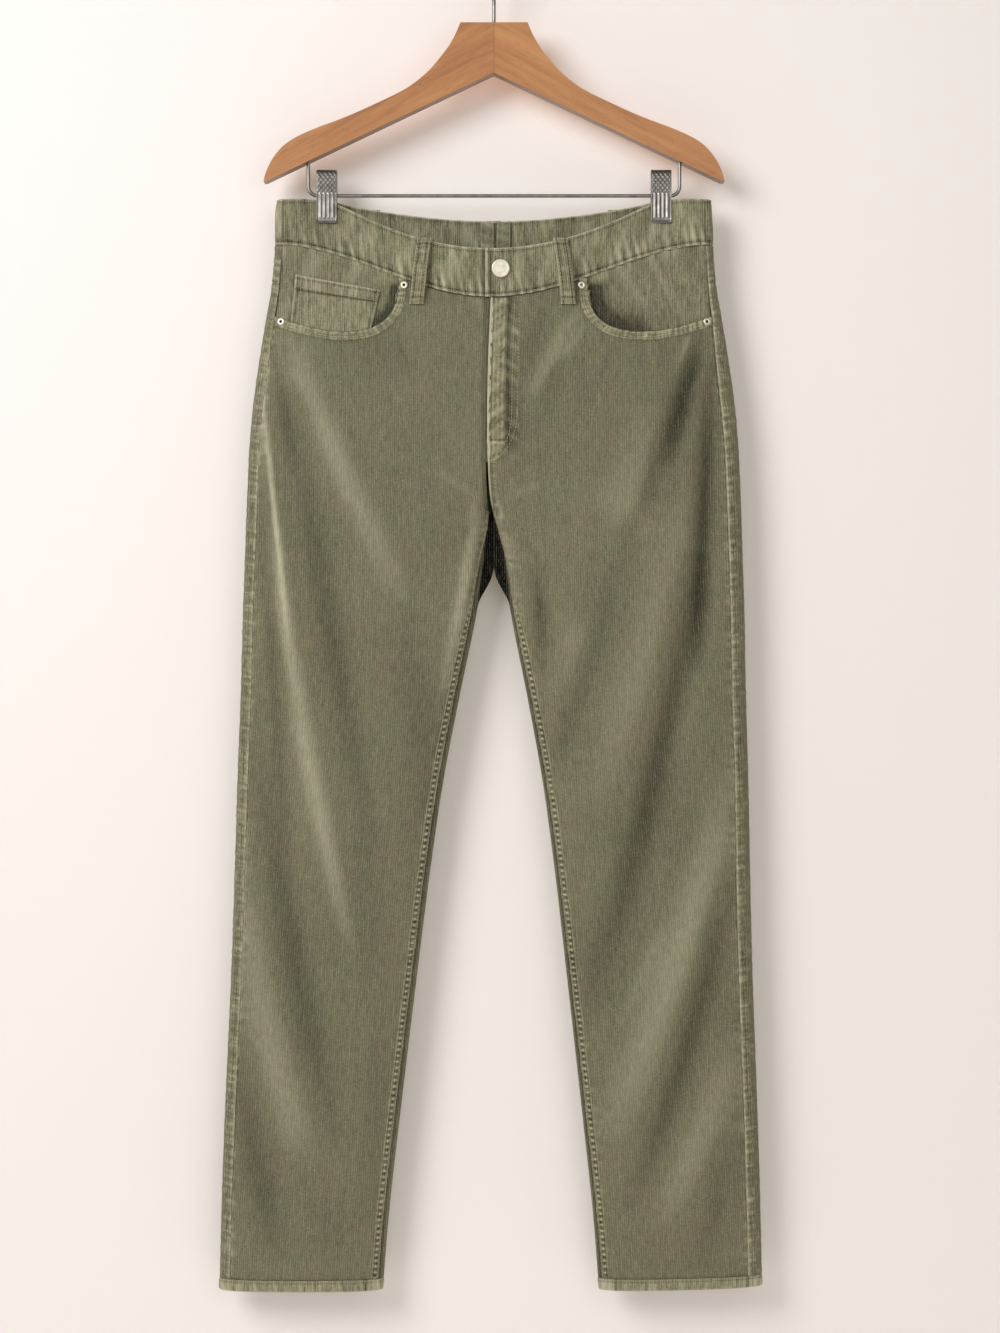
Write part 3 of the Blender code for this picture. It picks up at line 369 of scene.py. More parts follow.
def outseam_x(side, drop):
    """Side seam: it lies in front of the outer edge by a distance that grows over the hip."""
    forward = OUTSEAM_TOP + (OUTSEAM_FORWARD[side] - OUTSEAM_TOP) * ease(drop, 0.05, 0.2)
    return along(OUTER, drop) - forward


def inseam_x(side, drop):
    return along(INNER, drop) + INSEAM_FORWARD[side] * ease(drop, CROTCH_DROP, CROTCH_DROP + 0.07)


def hem_drop(side, x):
    low, high = INNER[-1], OUTER[-1]
    return TROUSER_LENGTH - HEM_TILT[side] * np.clip((x - low) / (high - low), 0, 1)


def pocket_mouth(side, angle):
    """The mouth's curve from the waistband seam out to the side seam, for 0 to 90 degrees."""
    turn = 1 - np.cos(angle)
    start_drop = front_seam(MOUTH_START_X)
    end_x = outseam_x(side, start_drop + MOUTH_SINK - MOUTH_LIFT) - SEAM_GAP / 2
    x = MOUTH_START_X + (end_x - MOUTH_START_X) * turn**1.3
    drop = start_drop + MOUTH_SINK * np.sin(angle) ** 0.85 - MOUTH_LIFT * turn**2
    return x, drop


def ripple(run, pitch, seed):
    """Uneven puckers along a seam, 0 to about 1: humps at irregular steps near the pitch, each
    with its own height and width, of which the tallest counts at each place."""
    rng = np.random.default_rng(seed)
    line = np.arange(-0.35, 1.25, 0.0004)
    count = int(1.6 / pitch)
    places = line[0] + np.cumsum(rng.uniform(0.55, 1.45, count)) * pitch
    heights = rng.uniform(0.30, 1.0, count)[:, None]
    widths = rng.uniform(0.24, 0.46, count)[:, None] * pitch
    humps = heights * bump(line - places[:, None], widths)
    return np.interp(run, line, humps.max(axis=0))


def crest_light_and_shade(pucker):
    """Painted light and shade of puckers: pale on the crests, as rubbed nap and painted
    highlight, and painted shade in the valleys between, from 1 down to -0.6.
    """
    return 1.6 * (pucker - 0.38)


def rim(distance, radius):
    """How far a rolled edge falls: a quarter circle of that radius, zero further in."""
    t = np.clip(1 - distance / radius, 0, 1)
    return -radius * (1 - np.sqrt(np.maximum(1 - t * t, 0)))


def nearest(x, drop, line_x, line_drop):
    """Distance to a line given by its points, and the length of line up to the nearest one."""
    run = np.concatenate([[0], np.cumsum(np.hypot(np.diff(line_x), np.diff(line_drop)))])
    gap = (x.ravel()[:, None] - line_x) ** 2 + (drop.ravel()[:, None] - line_drop) ** 2
    index = gap.argmin(axis=1)
    distance = np.sqrt(gap[np.arange(len(index)), index])
    return distance.reshape(x.shape), run[index].reshape(x.shape)


def numbered(rows, columns, closed=False):
    """The numbers of a grid's points. A closed grid joins its last column to its first."""
    index = np.arange(rows * columns).reshape(rows, columns)
    return np.concatenate([index, index[:, :1]], axis=1) if closed else index


def grid_quads(index, flipped=False):
    """Quads over a grid of point numbers, each from its corner down, across and back up."""
    corners = index[:-1, :-1], index[1:, :-1], index[1:, 1:], index[:-1, 1:]
    quads = np.stack(corners, axis=-1).reshape(-1, 4)
    return quads[:, [0, 3, 2, 1]] if flipped else quads


def smooth_mesh(name, points, faces):
    mesh = bpy.data.meshes.new(name)
    mesh.from_pydata(np.reshape(points, (-1, 3)).tolist(), [], faces)
    mesh.shade_smooth()
    return mesh


def marked(mesh, name, values):
    """A value at each point, for a finish to read."""
    made = mesh.attributes.new(name, "FLOAT", "POINT")
    made.data.foreach_set("value", values.astype(np.float32).ravel())


def in_scene(name, mesh, finish):
    mesh.materials.append(finish)
    made = bpy.data.objects.new(name, mesh)
    bpy.context.scene.collection.objects.link(made)
    return made


CLOTH_PIECES = []


def cloth(name, grids, wall, finish, closed=False):
    """A piece of cloth on a grid of points, from the top down and left to right from outside.

    The grids are its points, its grain in metres across and along the wales, kept as the UV
    map, and a value kept as an attribute: how far the nap is rubbed pale, with painted highlight
    on crests above 0, and painted shade in valleys and grooves below 0. A wall behind it makes
    it stand for its CAD node. A strip sunk into another piece's wall needs none of its own.
    """
    points, grain, worn = grids
    quads = grid_quads(numbered(*points.shape[:2], closed))
    mesh = smooth_mesh(name, points, quads.tolist())
    corners = grid_quads(numbered(*grain.shape[:2])).ravel()
    layer = mesh.uv_layers.new(name="grain")
    layer.data.foreach_set("uv", grain.reshape(-1, 2)[corners].astype(np.float32).ravel())
    # pale wear and painted highlight above 0, painted shade below 0
    marked(mesh, "worn", worn)
    piece = in_scene(name, mesh, finish)
    if wall:
        shell = piece.modifiers.new("wall", "SOLIDIFY")
        shell.thickness = wall
        shell.offset = -1
        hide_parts(name)
    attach(piece, "root")
    CLOTH_PIECES.append(piece)
    return piece


def left_to_right(side, *grids):
    """Grids laid out from the centre line out, turned so that they read from left to right."""
    return [grid if side == LEFT else grid[:, ::-1] for grid in grids]


class Socket:
    """A socket of a material. Arithmetic on it adds Math nodes, and node() adds any other."""

    def __init__(self, tree, output=None):
        self.tree = tree
        self.output = output

    def node(self, kind, settings=None, values=None, output=0):
        made = self.tree.nodes.new(kind)
        for name, value in (settings or {}).items():
            if name == "stops":
                ramp = made.color_ramp.elements
                while len(ramp) < len(value):
                    ramp.new(0.5)
                for element, (place, colour) in zip(ramp, value):
                    element.position = place
                    element.color = colour
            else:
                setattr(made, name, value)
        for name, value in (values or {}).items():
            self.feed(made.inputs[name], value)
        return Socket(self.tree, made.outputs[output])

    def feed(self, target, value):
        if isinstance(value, Socket):
            self.tree.links.new(value.output, target)
        else:
            target.default_value = value

    def math(self, operation, *values):
        return self.node("ShaderNodeMath", {"operation": operation}, dict(enumerate(values)))

    def __add__(self, other):
        return self.math("ADD", self, other)

    def __sub__(self, other):
        return self.math("SUBTRACT", self, other)

    def __rsub__(self, other):
        return self.math("SUBTRACT", other, self)

    def __mul__(self, other):
        return self.math("MULTIPLY", self, other)

    def __pow__(self, other):
        return self.math("POWER", self, other)

    __radd__ = __add__
    __rmul__ = __mul__

    def sine(self):
        return self.math("SINE", self)

    def between(self, low, high):
        """0 at low and 1 at high, clamped."""
        values = {"Value": self, "From Min": low, "From Max": high}
        return self.node("ShaderNodeMapRange", {"clamp": True}, values)

    def place(self):
        """Where a point lies on the piece."""
        return self.node("ShaderNodeTexCoord", output=3)

    def attribute(self, name):
        return self.node("ShaderNodeAttribute", {"attribute_name": name}, output=2)

    def part(self, k):
        """The x, y or z of this vector, for k of 0, 1 or 2."""
        return self.node("ShaderNodeSeparateXYZ", {}, {0: self}, k)

    def bumped(self, strength, distance):
        """The normal over this height."""
        values = {"Strength": strength, "Distance": distance, "Height": self}
        return self.node("ShaderNodeBump", {}, values)

    def stretched(self, x, y, z=1.0):
        """This vector with its three parts scaled."""
        values = {0: self, 1: (x, y, z)}
        return self.node("ShaderNodeVectorMath", {"operation": "MULTIPLY"}, values)

    def noise(self, scale=1.0, detail=2.0, roughness=0.5):
        values = {"Vector": self, "Scale": scale, "Detail": detail, "Roughness": roughness}
        return self.node("ShaderNodeTexNoise", {}, values)

    def mixed(self, colour_a, colour_b, blend="MIX"):
        """Colour a at 0 and colour b at 1, by this factor."""
        settings = {"data_type": "RGBA", "blend_type": blend}
        return self.node("ShaderNodeMix", settings, {0: self, 6: colour_a, 7: colour_b}, 2)

    def dimmed(self, colour):
        """A colour times this number."""
        plain = colour if isinstance(colour, Socket) else colour[:3]
        settings = {"operation": "SCALE"}
        return self.node("ShaderNodeVectorMath", settings, {0: plain, "Scale": self})


def linear(red, green, blue):
    """A colour of 0 to 255 steps, as shaders take it."""
    steps = np.array([red, green, blue]) / 255
    parts = np.where(steps <= 0.04045, steps / 12.92, ((steps + 0.055) / 1.055) ** 2.4)
    return (*(float(part) for part in parts), 1.0)


def new_finish(name, colour, roughness, metallic=0.0):
    made = bpy.data.materials.new(name)
    made.use_nodes = True
    shader = made.node_tree.nodes["Principled BSDF"]
    shader.inputs["Base Color"].default_value = colour
    shader.inputs["Roughness"].default_value = roughness
    shader.inputs["Metallic"].default_value = metallic
    return made, Socket(made.node_tree), shader


WALE_PITCH = 0.0021
OLIVE = linear(114, 116, 92)
TAUPE = linear(119, 114, 94)
# pale colour for worn nap, and for the painted highlight on crests
PALE_WEAR_AND_HIGHLIGHT = linear(188, 186, 160)


def corduroy(name, brightness=1.0, contrast=1.0):
    """Cut pile in fine wales: a sine across the grain that wavers, broken streaks of paler and
    darker pile along it, patches of olive and taupe, pale thread where the nap has gone and
    painted highlight on crests, and painted shade, a darker pile in valleys, creases and hollows."""
    made, start, shader = new_finish(name, OLIVE, 0.92)
    grain = start.node("ShaderNodeUVMap", {"uv_map": "grain"})
    place = start.place()
    worn = start.attribute("worn")
    across = grain.part(0)
    waver = grain.stretched(300, 22).noise(detail=1.0)
    wale = (across * (2 * math.pi / WALE_PITCH) + waver * 3.0).sine() * 0.5 + 0.5
    streak = grain.stretched(480, 85).noise(detail=3.0, roughness=0.65)
    long_streak = grain.stretched(150, 9).noise(detail=2.0)
    fleck = grain.stretched(900, 520).noise(detail=1.0)
    slub = grain.stretched(230, 640).noise(detail=2.0)
    patch = place.noise(scale=30.0, detail=5.0, roughness=0.7)
    cloud = place.noise(scale=8.0, detail=3.0)
    lines = (wale - 0.5) * 0.17 + (streak - 0.5) * 0.85 + (long_streak - 0.5) * 0.30
    tone = 1 + lines * contrast + (fleck - 0.5) * 0.55 + (slub - 0.5) * 0.55
    tone += (cloud - 0.5) * 0.34
    # painted shade: below 0 the attribute darkens the pile in valleys, creases and hollows
    painted_shade = (worn * -1.0).between(0.0, 1.25) * 1.25
    tone = tone * brightness * (1 - painted_shade * 0.42 - painted_shade * painted_shade * 0.30)
    pile = patch.between(0.36, 0.64).mixed(OLIVE, TAUPE)
    # pale where the nap is worn, and painted highlight on crests, from the attribute above 0
    wear_and_highlight = worn.between(0.02, 1.05) * (streak * 1.1 + 0.45)
    tips = (wale * streak * fleck).between(0.17, 0.42) * 0.26
    colour = (wear_and_highlight + tips).between(0.0, 1.0).mixed(tone.dimmed(pile), PALE_WEAR_AND_HIGHLIGHT)
    start.feed(shader.inputs["Base Color"], colour)
    height = wale * 0.35 + streak * 1.0 + fleck * 0.6 + slub * 0.5
    start.feed(shader.inputs["Normal"], height.bumped(0.65, 0.0008))
    shader.inputs["Sheen Weight"].default_value = 0.13
    shader.inputs["Sheen Roughness"].default_value = 0.45
    shader.inputs["Sheen Tint"].default_value = linear(214, 214, 196)
    shader.inputs["Specular IOR Level"].default_value = 0.12
    return made


CORD = corduroy("corduroy")
CORD_BAND = corduroy("corduroy_band", 1.33, 2.3)  # where layers are turned and stitched

MOUTH_LINES = {side: pocket_mouth(side, np.linspace(0, math.pi / 2, 160)) for side in SIDE_NAMES}


def front_relief(side, x, drop):
    """How far a front stands off the form, and its wear and painted light and shade, summed over
    its seams.

    Each edge rolls in a quarter circle and draws puckers that fade within a few millimetres.
    The nap is pale on edges from wear and on crests as painted highlight, above 0, and painted
    shade darkens valleys, grooves and the right front's edge under the lap, below 0.
    """
    out = outseam_x(side, drop) - x
    inward = x - inseam_x(side, drop)
    below_band = drop - front_seam(x)
    mouth, mouth_run = nearest(x, drop, *MOUTH_LINES[side])
    leg = ease(drop, CROTCH_DROP - 0.01, CROTCH_DROP + 0.03)
    under_band = (1 - ease(x, MOUTH_START_X - 0.004, MOUTH_START_X)) * np.exp(-below_band / 0.013)
    outer_pucker = ripple(drop + 0.2 * out, 0.0085, 11 + side)
    outer_fade = np.exp(-out / 0.006)
    inner_pucker = ripple(drop - 0.2 * inward, 0.0072, 21 + side)
    inner_fade = np.exp(-inward / 0.008) * leg
    band_pucker = ripple(x + 0.15 * below_band, 0.0095, 31 + side)
    mouth_draw = ripple(mouth_run, 0.0100, 51 + side)
    mouth_fade = np.exp(-mouth / 0.014)
    crease = fold_height(SMALL_CREASES, side, True, x, drop)
    # painted highlight on fold crests and painted shade in fold valleys
    painted_fold = fold_height(PAINTED_FOLDS, side, True, x, drop)
    lift = 0.0014 * outer_pucker * outer_fade + 0.0010 * inner_pucker * inner_fade
    lift += 0.0016 * band_pucker * under_band + 0.0011 * mouth_draw * mouth_fade
    lift += rim(out, EDGE_ROLL) + rim(mouth, 0.0011) + leg * rim(inward, EDGE_ROLL)
    lift += crease + PAINTED_FOLD_LIFT * painted_fold
    worn = 0.40 * bump(out, 0.0012) + 0.40 * crest_light_and_shade(outer_pucker) * outer_fade
    worn += 0.45 * crest_light_and_shade(inner_pucker) * inner_fade + 0.40 * crest_light_and_shade(band_pucker) * under_band
    # painted shade in the groove beside the pocket mouth's band, and under the waistband seam
    worn += 0.28 * crest_light_and_shade(mouth_draw) * mouth_fade - 0.35 * bump(mouth - MOUTH_BAND, 0.0016)
    worn = worn - 0.50 * bump(below_band - 0.0006, 0.0012) * (x < MOUTH_START_X)
    worn += painted_fold + CREASE_LIGHT_AND_SHADE * crease
    fly = (1 - ease(drop, FLY_FOOT - 0.012, FLY_FOOT)) * (1 - leg)
    if side == LEFT:
        beside = ease(x, 0.031, 0.025) * fly
        fly_draw = ripple(drop - 0.7 * x, 0.0110, 61)
        lift += 0.0014 * fly_draw * beside + (1 - leg) * rim(x, EDGE_ROLL)
        # a pale worn fly edge, with painted shade in the groove beside it
        edge = 1.9 * bump(x - 0.0010, 0.0010) - 0.6 * bump(x - 0.0034, 0.0009)
        worn += (1 - leg) * edge
        seat = ease(drop, FLY_FOOT - 0.014, FLY_FOOT - 0.004) * (1 - leg)
        seat_draw = crest_light_and_shade(ripple(drop + 0.4 * x, 0.0062, 63)) * bump(x - 0.0052, 0.0030)
        worn += seat * (0.8 * seat_draw + 0.75 * bump(x - 0.0086, 0.0009))
        worn += 0.55 * crest_light_and_shade(fly_draw) * beside
        # painted shade in the groove beside the fly band
        worn = worn - 0.85 * fly * bump(x - FLY_BAND - 0.0014, 0.0016)
    else:
        lift = lift - (1 - leg) * 0.0016 * (1 - ease(x, 0.0020, 0.0070))
        # painted shade on the right front's edge, under the lapped left front
        worn = worn - (1 - leg) * 0.6 * bump(x, 0.0035)
    return lift, np.clip(worn, -1, 1)


def wale_grain(side, x, drop):
    """Metres across and along the wales, which run straight down and lean out with the leg."""
    lean = 0.052 * ease(drop, 0.15, 0.75) * (drop - 0.30)
    return np.stack([side * (x - lean) + 0.5, drop], axis=-1)


def graded(count, *stretches):
    """Values from the first stretch's start on, each stretch given its end and its share."""
    total = sum(share for _, share in stretches)
    parts, start = [], 0.0
    for end, share in stretches:
        steps = max(2, round(count * share / total))
        parts.append(np.linspace(start, end, steps, endpoint=False))
        start = end
    return np.append(np.concatenate(parts), start)


MOUTH_SHARE = 0.446
MOUTH_FOOT = 0.11


def front_points(side):
    """Rows and columns of a front, as distance and drop: straight columns that bend at the top
    so that the outer ones start on the pocket mouth."""
    share = graded(96, (0.03, 8), (0.40, 19), (MOUTH_SHARE, 5), (0.97, 52), (1.0, 8))
    level = graded(310, (0.13, 80), (0.45, 100), (1.0, 130))[:, None]
    angle = np.clip((share - MOUTH_SHARE) / (1 - MOUTH_SHARE), 0, 1) * math.pi / 2
    mouth_x, mouth_drop = pocket_mouth(side, angle)
    straight_x = MOUTH_START_X * np.minimum(share / MOUTH_SHARE, 1)
    on_band = share <= MOUTH_SHARE
    top_x = np.where(on_band, straight_x + SEAM_GAP / 2, mouth_x)
    top_drop = np.where(on_band, front_seam(straight_x) + SEAM_GAP, mouth_drop)
    low, high = inseam_x(side, TROUSER_LENGTH), outseam_x(side, TROUSER_LENGTH)
    foot = hem_drop(side, low + (high - low) * share) - HEM_DEPTH - SEAM_GAP
    drop = top_drop + (foot - top_drop) * level
    inner = inseam_x(side, drop) + SEAM_GAP / 2
    outer = outseam_x(side, drop) - SEAM_GAP / 2
    base_x = inner + (outer - inner) * share
    return base_x + (top_x - base_x[0]) * (1 - np.minimum(level / MOUTH_FOOT, 1)), drop


BAND_TUCK = 0.0005
SIDE_BAND = 0.0092
INSEAM_BAND = 0.0080
BEAD_PITCH = 0.0058


def band_piece(name, side, points, run, share, worn):
    """A narrow strip laid on a panel, its grain running along it."""
    grain = np.stack([0.3 + 0.008 * share + 0 * run, run + 0 * share], axis=-1)
    grids = left_to_right(side, points, grain, np.clip(worn, -1, 1))
    return cloth(name, grids, 0, CORD_BAND)


def felled(run, share, relief, seed, pitch, pale_edge, slant=0.15, drawn=0.8):
    """Lift, wear and painted light where layers are felled together: a flat-topped hump across
    the seam and uneven puckers along it. slant turns the puckers from square to it, and drawn
    is how strongly their painted highlight and shade show."""
    hump = np.clip(4 * share * (1 - share), 0, 1) ** 0.45
    pucker = ripple(run + slant * share * pitch * 2, pitch, seed)
    fine = ripple(run - slant * share * pitch, pitch * 0.47, seed + 1)
    lift = relief - BAND_TUCK + hump * (0.0008 + 0.0016 * (pucker - 0.35) + 0.0005 * fine)
    worn = hump * drawn * (crest_light_and_shade(pucker) + 0.3 * crest_light_and_shade(fine))
    return lift, worn + pale_edge * bump(share - 0.06, 0.08)


def inseam_band(side, name):
    """The inseam's groove from the crotch down, painted dark as shade, with pale beads of cloth,
    painted as highlight, between its stitches.
    """
    top = CROTCH_DROP + 0.004
    fall, share = unit_grid(1000, 11)
    drop = top + (TROUSER_LENGTH - HEM_DEPTH - 0.001 - top) * fall + 0 * share
    shown = ease(drop, CROTCH_DROP + 0.06, CROTCH_DROP + 0.14)
    x = inseam_x(side, drop) + 0.0002 + INSEAM_BAND * (0.3 + 0.7 * shown) * share
    relief = front_relief(side, x, drop)[0] * ease(share, 0, 0.3)
    wander = 0.7 * np.sin(drop / 0.041) + 0.5 * np.sin(drop / 0.0177 + side)
    bead = (0.5 + 0.5 * np.cos(2 * math.pi * drop / BEAD_PITCH + wander)) ** 1.5
    middle = bump(share - 0.5, 0.20)
    hump = np.clip(4 * share * (1 - share), 0, 1) ** 0.45
    lift = relief - BAND_TUCK + hump * 0.0008 + (0.0010 * bead - 0.0003) * middle
    # painted highlight on the beads and painted shade in the groove between the band's sides
    worn = shown * (2.3 * bead * middle - 1.15 * bump(share - 0.5, 0.32))
    lit = 0.80 + (0.8 if side == LEFT else 0.0) * ease(drop, 0.50, 0.40)
    worn += lit * bump(share - 0.08, 0.10) + 0.40 * shown * bump(share - 0.94, 0.08)
    points = on_front(side, x, drop, lift)
    return band_piece("inseam_band_" + name, side, points, drop, share, worn)


def mouth_band(side, name):
    """The turned edge of a pocket mouth."""
    line_x, line_drop = MOUTH_LINES[side]
    run = np.append(0, np.cumsum(np.hypot(np.diff(line_x), np.diff(line_drop))))
    even = np.linspace(0.001, run[-1] - 0.001, 230)
    line_x, line_drop = np.interp(even, run, line_x), np.interp(even, run, line_drop)
    slope_x, slope_drop = np.gradient(line_x, even), np.gradient(line_drop, even)
    share = np.linspace(0, 1, 13)[None, :]
    reach = 0.0003 + MOUTH_BAND * share
    x = line_x[:, None] - slope_drop[:, None] * reach
    drop = line_drop[:, None] + slope_x[:, None] * reach
    x = np.minimum(x, outseam_x(side, drop) - 0.0006)
    relief = front_relief(side, x, drop)[0]
    run = even[:, None] + 0 * share
    lift, worn = felled(run, share, relief, 41 + side, 0.0054, 1.8, drawn=0.60)
    points = on_front(side, x, drop, lift)
    return band_piece("mouth_band_" + name, -side, points, run, share, worn)


def fly_band():
    """The left front's edge over the fly, turned and stitched flat, with slanting puckers."""
    fall, share = unit_grid(190, 16)
    top = front_seam(0.0) + 0.001
    drop = top + (FLY_FOOT - top) * fall + 0 * share
    rounded = np.sqrt(np.clip(1 - np.clip((fall - 0.90) / 0.1, 0, 1) ** 2, 0.02, 1))
    x = 0.0006 + (FLY_BAND - 0.0008) * share * rounded
    relief = front_relief(LEFT, x, drop)[0] * ease(share, 0, 0.2)
    lift, worn = felled(drop, share, relief, 181, 0.0125, 2.4, slant=0.5, drawn=0.48)
    # painted shade in the band's grooves and at the join below, with a pale worn line beside it
    worn = worn - 0.8 * bump(share - 0.20, 0.06) - 0.25 * bump(share - 0.55, 0.05)
    below_join = drop - FLY_JOIN
    worn = worn - 0.9 * bump(below_join, 0.0012) + 0.5 * bump(below_join - 0.0026, 0.0011)
    points = on_front(LEFT, x, drop, lift)
    return band_piece("fly_band_left", LEFT, points, drop, share, worn)


for side, name in SIDE_NAMES.items():
    x, drop = front_points(side)
    lift, worn = front_relief(side, x, drop)
    points = on_front(side, x, drop, lift)
    grids = left_to_right(side, points, wale_grain(side, x, drop), worn)
    piece = cloth("front_" + name, grids, WALL, CORD)
    bands = [inseam_band(side, name), mouth_band(side, name)]
    bands += [fly_band()] if side == LEFT else []
    "clip_" + name


# ---------------------------------------------------------------- fly placket
# A strip of the same cloth behind the fly, rounded at its foot. The J-shaped stitching on the
# left front holds it; the right front runs on over it.
FLY_WIDTH = 0.028
PLACKET_DEPTH = WALL + 0.0012


def fronts_across(u, drop, lift=0.0):
    """The fronts across the centre line: u is the distance, below zero on the right."""
    u, drop, lift = np.broadcast_arrays(u, drop, np.asarray(lift, float))
    x = np.maximum(np.abs(u), 0.0006)
    right, left = on_front(RIGHT, x, drop, lift), on_front(LEFT, x, drop, lift)
    return np.where((u < 0)[..., None], right, left)


fall, share = unit_grid(90, 22)
placket_top = front_seam(0.01) + 0.0030
drop = placket_top + (FLY_FOOT - placket_top) * fall + 0 * share
narrowing = np.sqrt(np.clip(1 - np.clip((fall - 0.72) / 0.30, 0, 1) ** 2, 0, 1))
u = -0.006 + (FLY_WIDTH + 0.003) * narrowing * share
points = fronts_across(u, drop, -PLACKET_DEPTH - 0.0004 * ripple(drop, 0.012, 3))
grain = np.stack([u + 0.2, drop], axis=-1)
piece = cloth("fly_placket", (points, grain, 0.1 * np.ones_like(drop)), WALL, CORD)


# ---------------------------------------------------------------- front pockets
# Behind each pocket mouth is a facing of the same cloth, sewn into the waistband and the side
# seam. On the right one sits the coin pocket, a patch with a turned-down top edge.
FACING_TUCK = 0.0130
FACING_SHALLOW = 0.0017
FACING_DEEP = 0.0040
# how far the painted shade reaches in from each pocket mouth
MOUTH_SHADE_WIDE = {LEFT: 0.034, RIGHT: 0.013}
COIN_RISE = 0.0019
COIN_CORNERS = np.array([(0.1090, 0.0890), (0.1920, 0.0730), (0.1978, 0.1275), (0.1188, 0.1335)])
COIN_HEM = 0.0120
COIN_HIGH = 0.0460
COIN_WIDE = 0.0830


def facing_lift(side, x, drop):
    """Depth of the facing: shallow at the seams, deeper behind the mouth, with a few dents."""
    from_seam = np.minimum(drop - front_seam(x), outseam_x(side, drop) - x)
    lift = -FACING_SHALLOW - (FACING_DEEP - FACING_SHALLOW) * ease(from_seam, 0.001, 0.022)
    draw = ripple(x, 0.0120, 71 + side) * np.exp(-np.maximum(drop - front_seam(x), 0) / 0.010)
    dent = 0.0007 * np.sin(x / 0.0145 + drop / 0.013 + side) * ease(from_seam, 0.004, 0.02)
    return lift + 0.0010 * draw + dent


CORD_FACING = corduroy("corduroy_facing", 1.17, 2.0)
for side, name in SIDE_NAMES.items():
    angle = np.linspace(0, math.pi / 2, 72)
    mouth_x, mouth_drop = pocket_mouth(side, angle)
    edge_x = mouth_x - np.cos(angle) * FACING_TUCK
    edge_drop = mouth_drop + np.sin(angle) * FACING_TUCK
    edge_x = np.minimum(edge_x, outseam_x(side, edge_drop) + 0.0030)
    top_x = edge_x[0] + (outseam_x(side, 0.05) + 0.0030 - edge_x[0]) * np.linspace(0, 1, 72)
    top_drop = front_seam(top_x) - 0.0010
    edge_drop = np.maximum(edge_drop, top_drop + 0.004)
    fall = np.linspace(0, 1, 46)[:, None]
    x = top_x + (edge_x - top_x) * fall
    drop = top_drop + (edge_drop - top_drop) * fall
    lift = facing_lift(side, x, drop)
    seam_fade = np.exp(-np.maximum(drop - front_seam(x), 0) / 0.010)
    worn = 0.45 * crest_light_and_shade(ripple(x, 0.0120, 71 + side)) * seam_fade
    from_mouth = nearest(x, drop, *MOUTH_LINES[side])[0]
    # painted shade inside each pocket mouth, wider on the left
    mouth_shade = 1 - ease(from_mouth, 0.002, MOUTH_SHADE_WIDE[side])
    mouth_shade = mouth_shade * ease(x, 0.175, 0.120) * ease(drop - front_seam(x), 0.004, 0.014)
    slack = ripple(x - 0.6 * drop, 0.0300, 75 + side) - 0.45
    worn = worn - 1.4 * mouth_shade + 0.55 * slack + 0.06
    if side == RIGHT:
        # a painted shadow beside the coin pocket's outer edge
        beside_coin = x - COIN_CORNERS[1, 0] - 0.106 * (drop - COIN_CORNERS[1, 1])
        worn = worn - 0.9 * bump(beside_coin - 0.0012, 0.0014) * ease(drop, 0.070, 0.076)
    worn = np.clip(worn, -1, 1)
    points = on_front(side, x, drop, lift)
    grids = left_to_right(side, points, wale_grain(side, x, drop), worn)
    piece = cloth("pocket_facing_" + name, grids, WALL, CORD_FACING)
    rests_on = ["waistband_front_" + name]

fall = graded(46, (0.26, 16), (0.32, 8), (1.0, 22))[:, None, None]
share = np.linspace(0, 1, 76)[None, :, None]
top = COIN_CORNERS[0] + (COIN_CORNERS[1] - COIN_CORNERS[0]) * share
foot = COIN_CORNERS[3] + (COIN_CORNERS[2] - COIN_CORNERS[3]) * share
spots = top + (foot - top) * fall
x, drop = spots[..., 0], spots[..., 1]
fall, share = fall[..., 0], share[..., 0]
from_top, from_side = fall * COIN_HIGH, np.minimum(share, 1 - share) * COIN_WIDE
coin_hem = 1 - ease(from_top, COIN_HEM - 0.0008, COIN_HEM + 0.0008)
edge_pucker = ripple(share * COIN_WIDE + 0.1 * from_top, 0.0062, 81)
side_pucker = ripple(from_top, 0.0066, 83)
side_fade = bump(from_side, 0.006)
lift = facing_lift(RIGHT, x, drop) + COIN_RISE
lift += 0.0006 * coin_hem + 0.0012 * edge_pucker * coin_hem
lift += 0.0009 * side_pucker * side_fade + rim(from_top, 0.0010) + rim(from_side, 0.0010)
worn = 1.2 * bump(from_top, 0.0014) + 1.1 * bump(from_side, 0.0011)
worn += 0.5 * crest_light_and_shade(edge_pucker) * coin_hem + 0.3 * crest_light_and_shade(side_pucker) * side_fade
# painted shade in the grooves under the hem, along the top and inside the sides
worn = worn - 0.9 * bump(from_top - COIN_HEM, 0.0014) - 0.7 * bump(from_side - 0.0036, 0.0013)
worn = worn - 0.6 * bump(from_top - 0.0030, 0.0009)
worn = np.clip(worn, -1, 1)
grain = wale_grain(RIGHT, x, drop) + 0.13
grids = left_to_right(RIGHT, on_front(RIGHT, x, drop, lift), grain, worn)
piece = cloth("coin_pocket", grids, WALL, CORD_BAND)


# ---------------------------------------------------------------- backs
# Two back legs, each one piece from the yoke to the hem. They wrap round the outer edge onto
# the front as far as the side seam, and round the inner edge as far as the inseam.
BACK_DIP = 0.017
BAND_BACK_DROP = 0.060
YOKE_SIDE_DROP = 0.080
YOKE_BACK_DROP = 0.125
FAR = 0.05


def yoke_seam(x):
    return YOKE_BACK_DROP + (YOKE_SIDE_DROP - YOKE_BACK_DROP) * np.abs(x) / 0.213


def back_seam(x):
    return seam_dip(x, BAND_BACK_DROP)


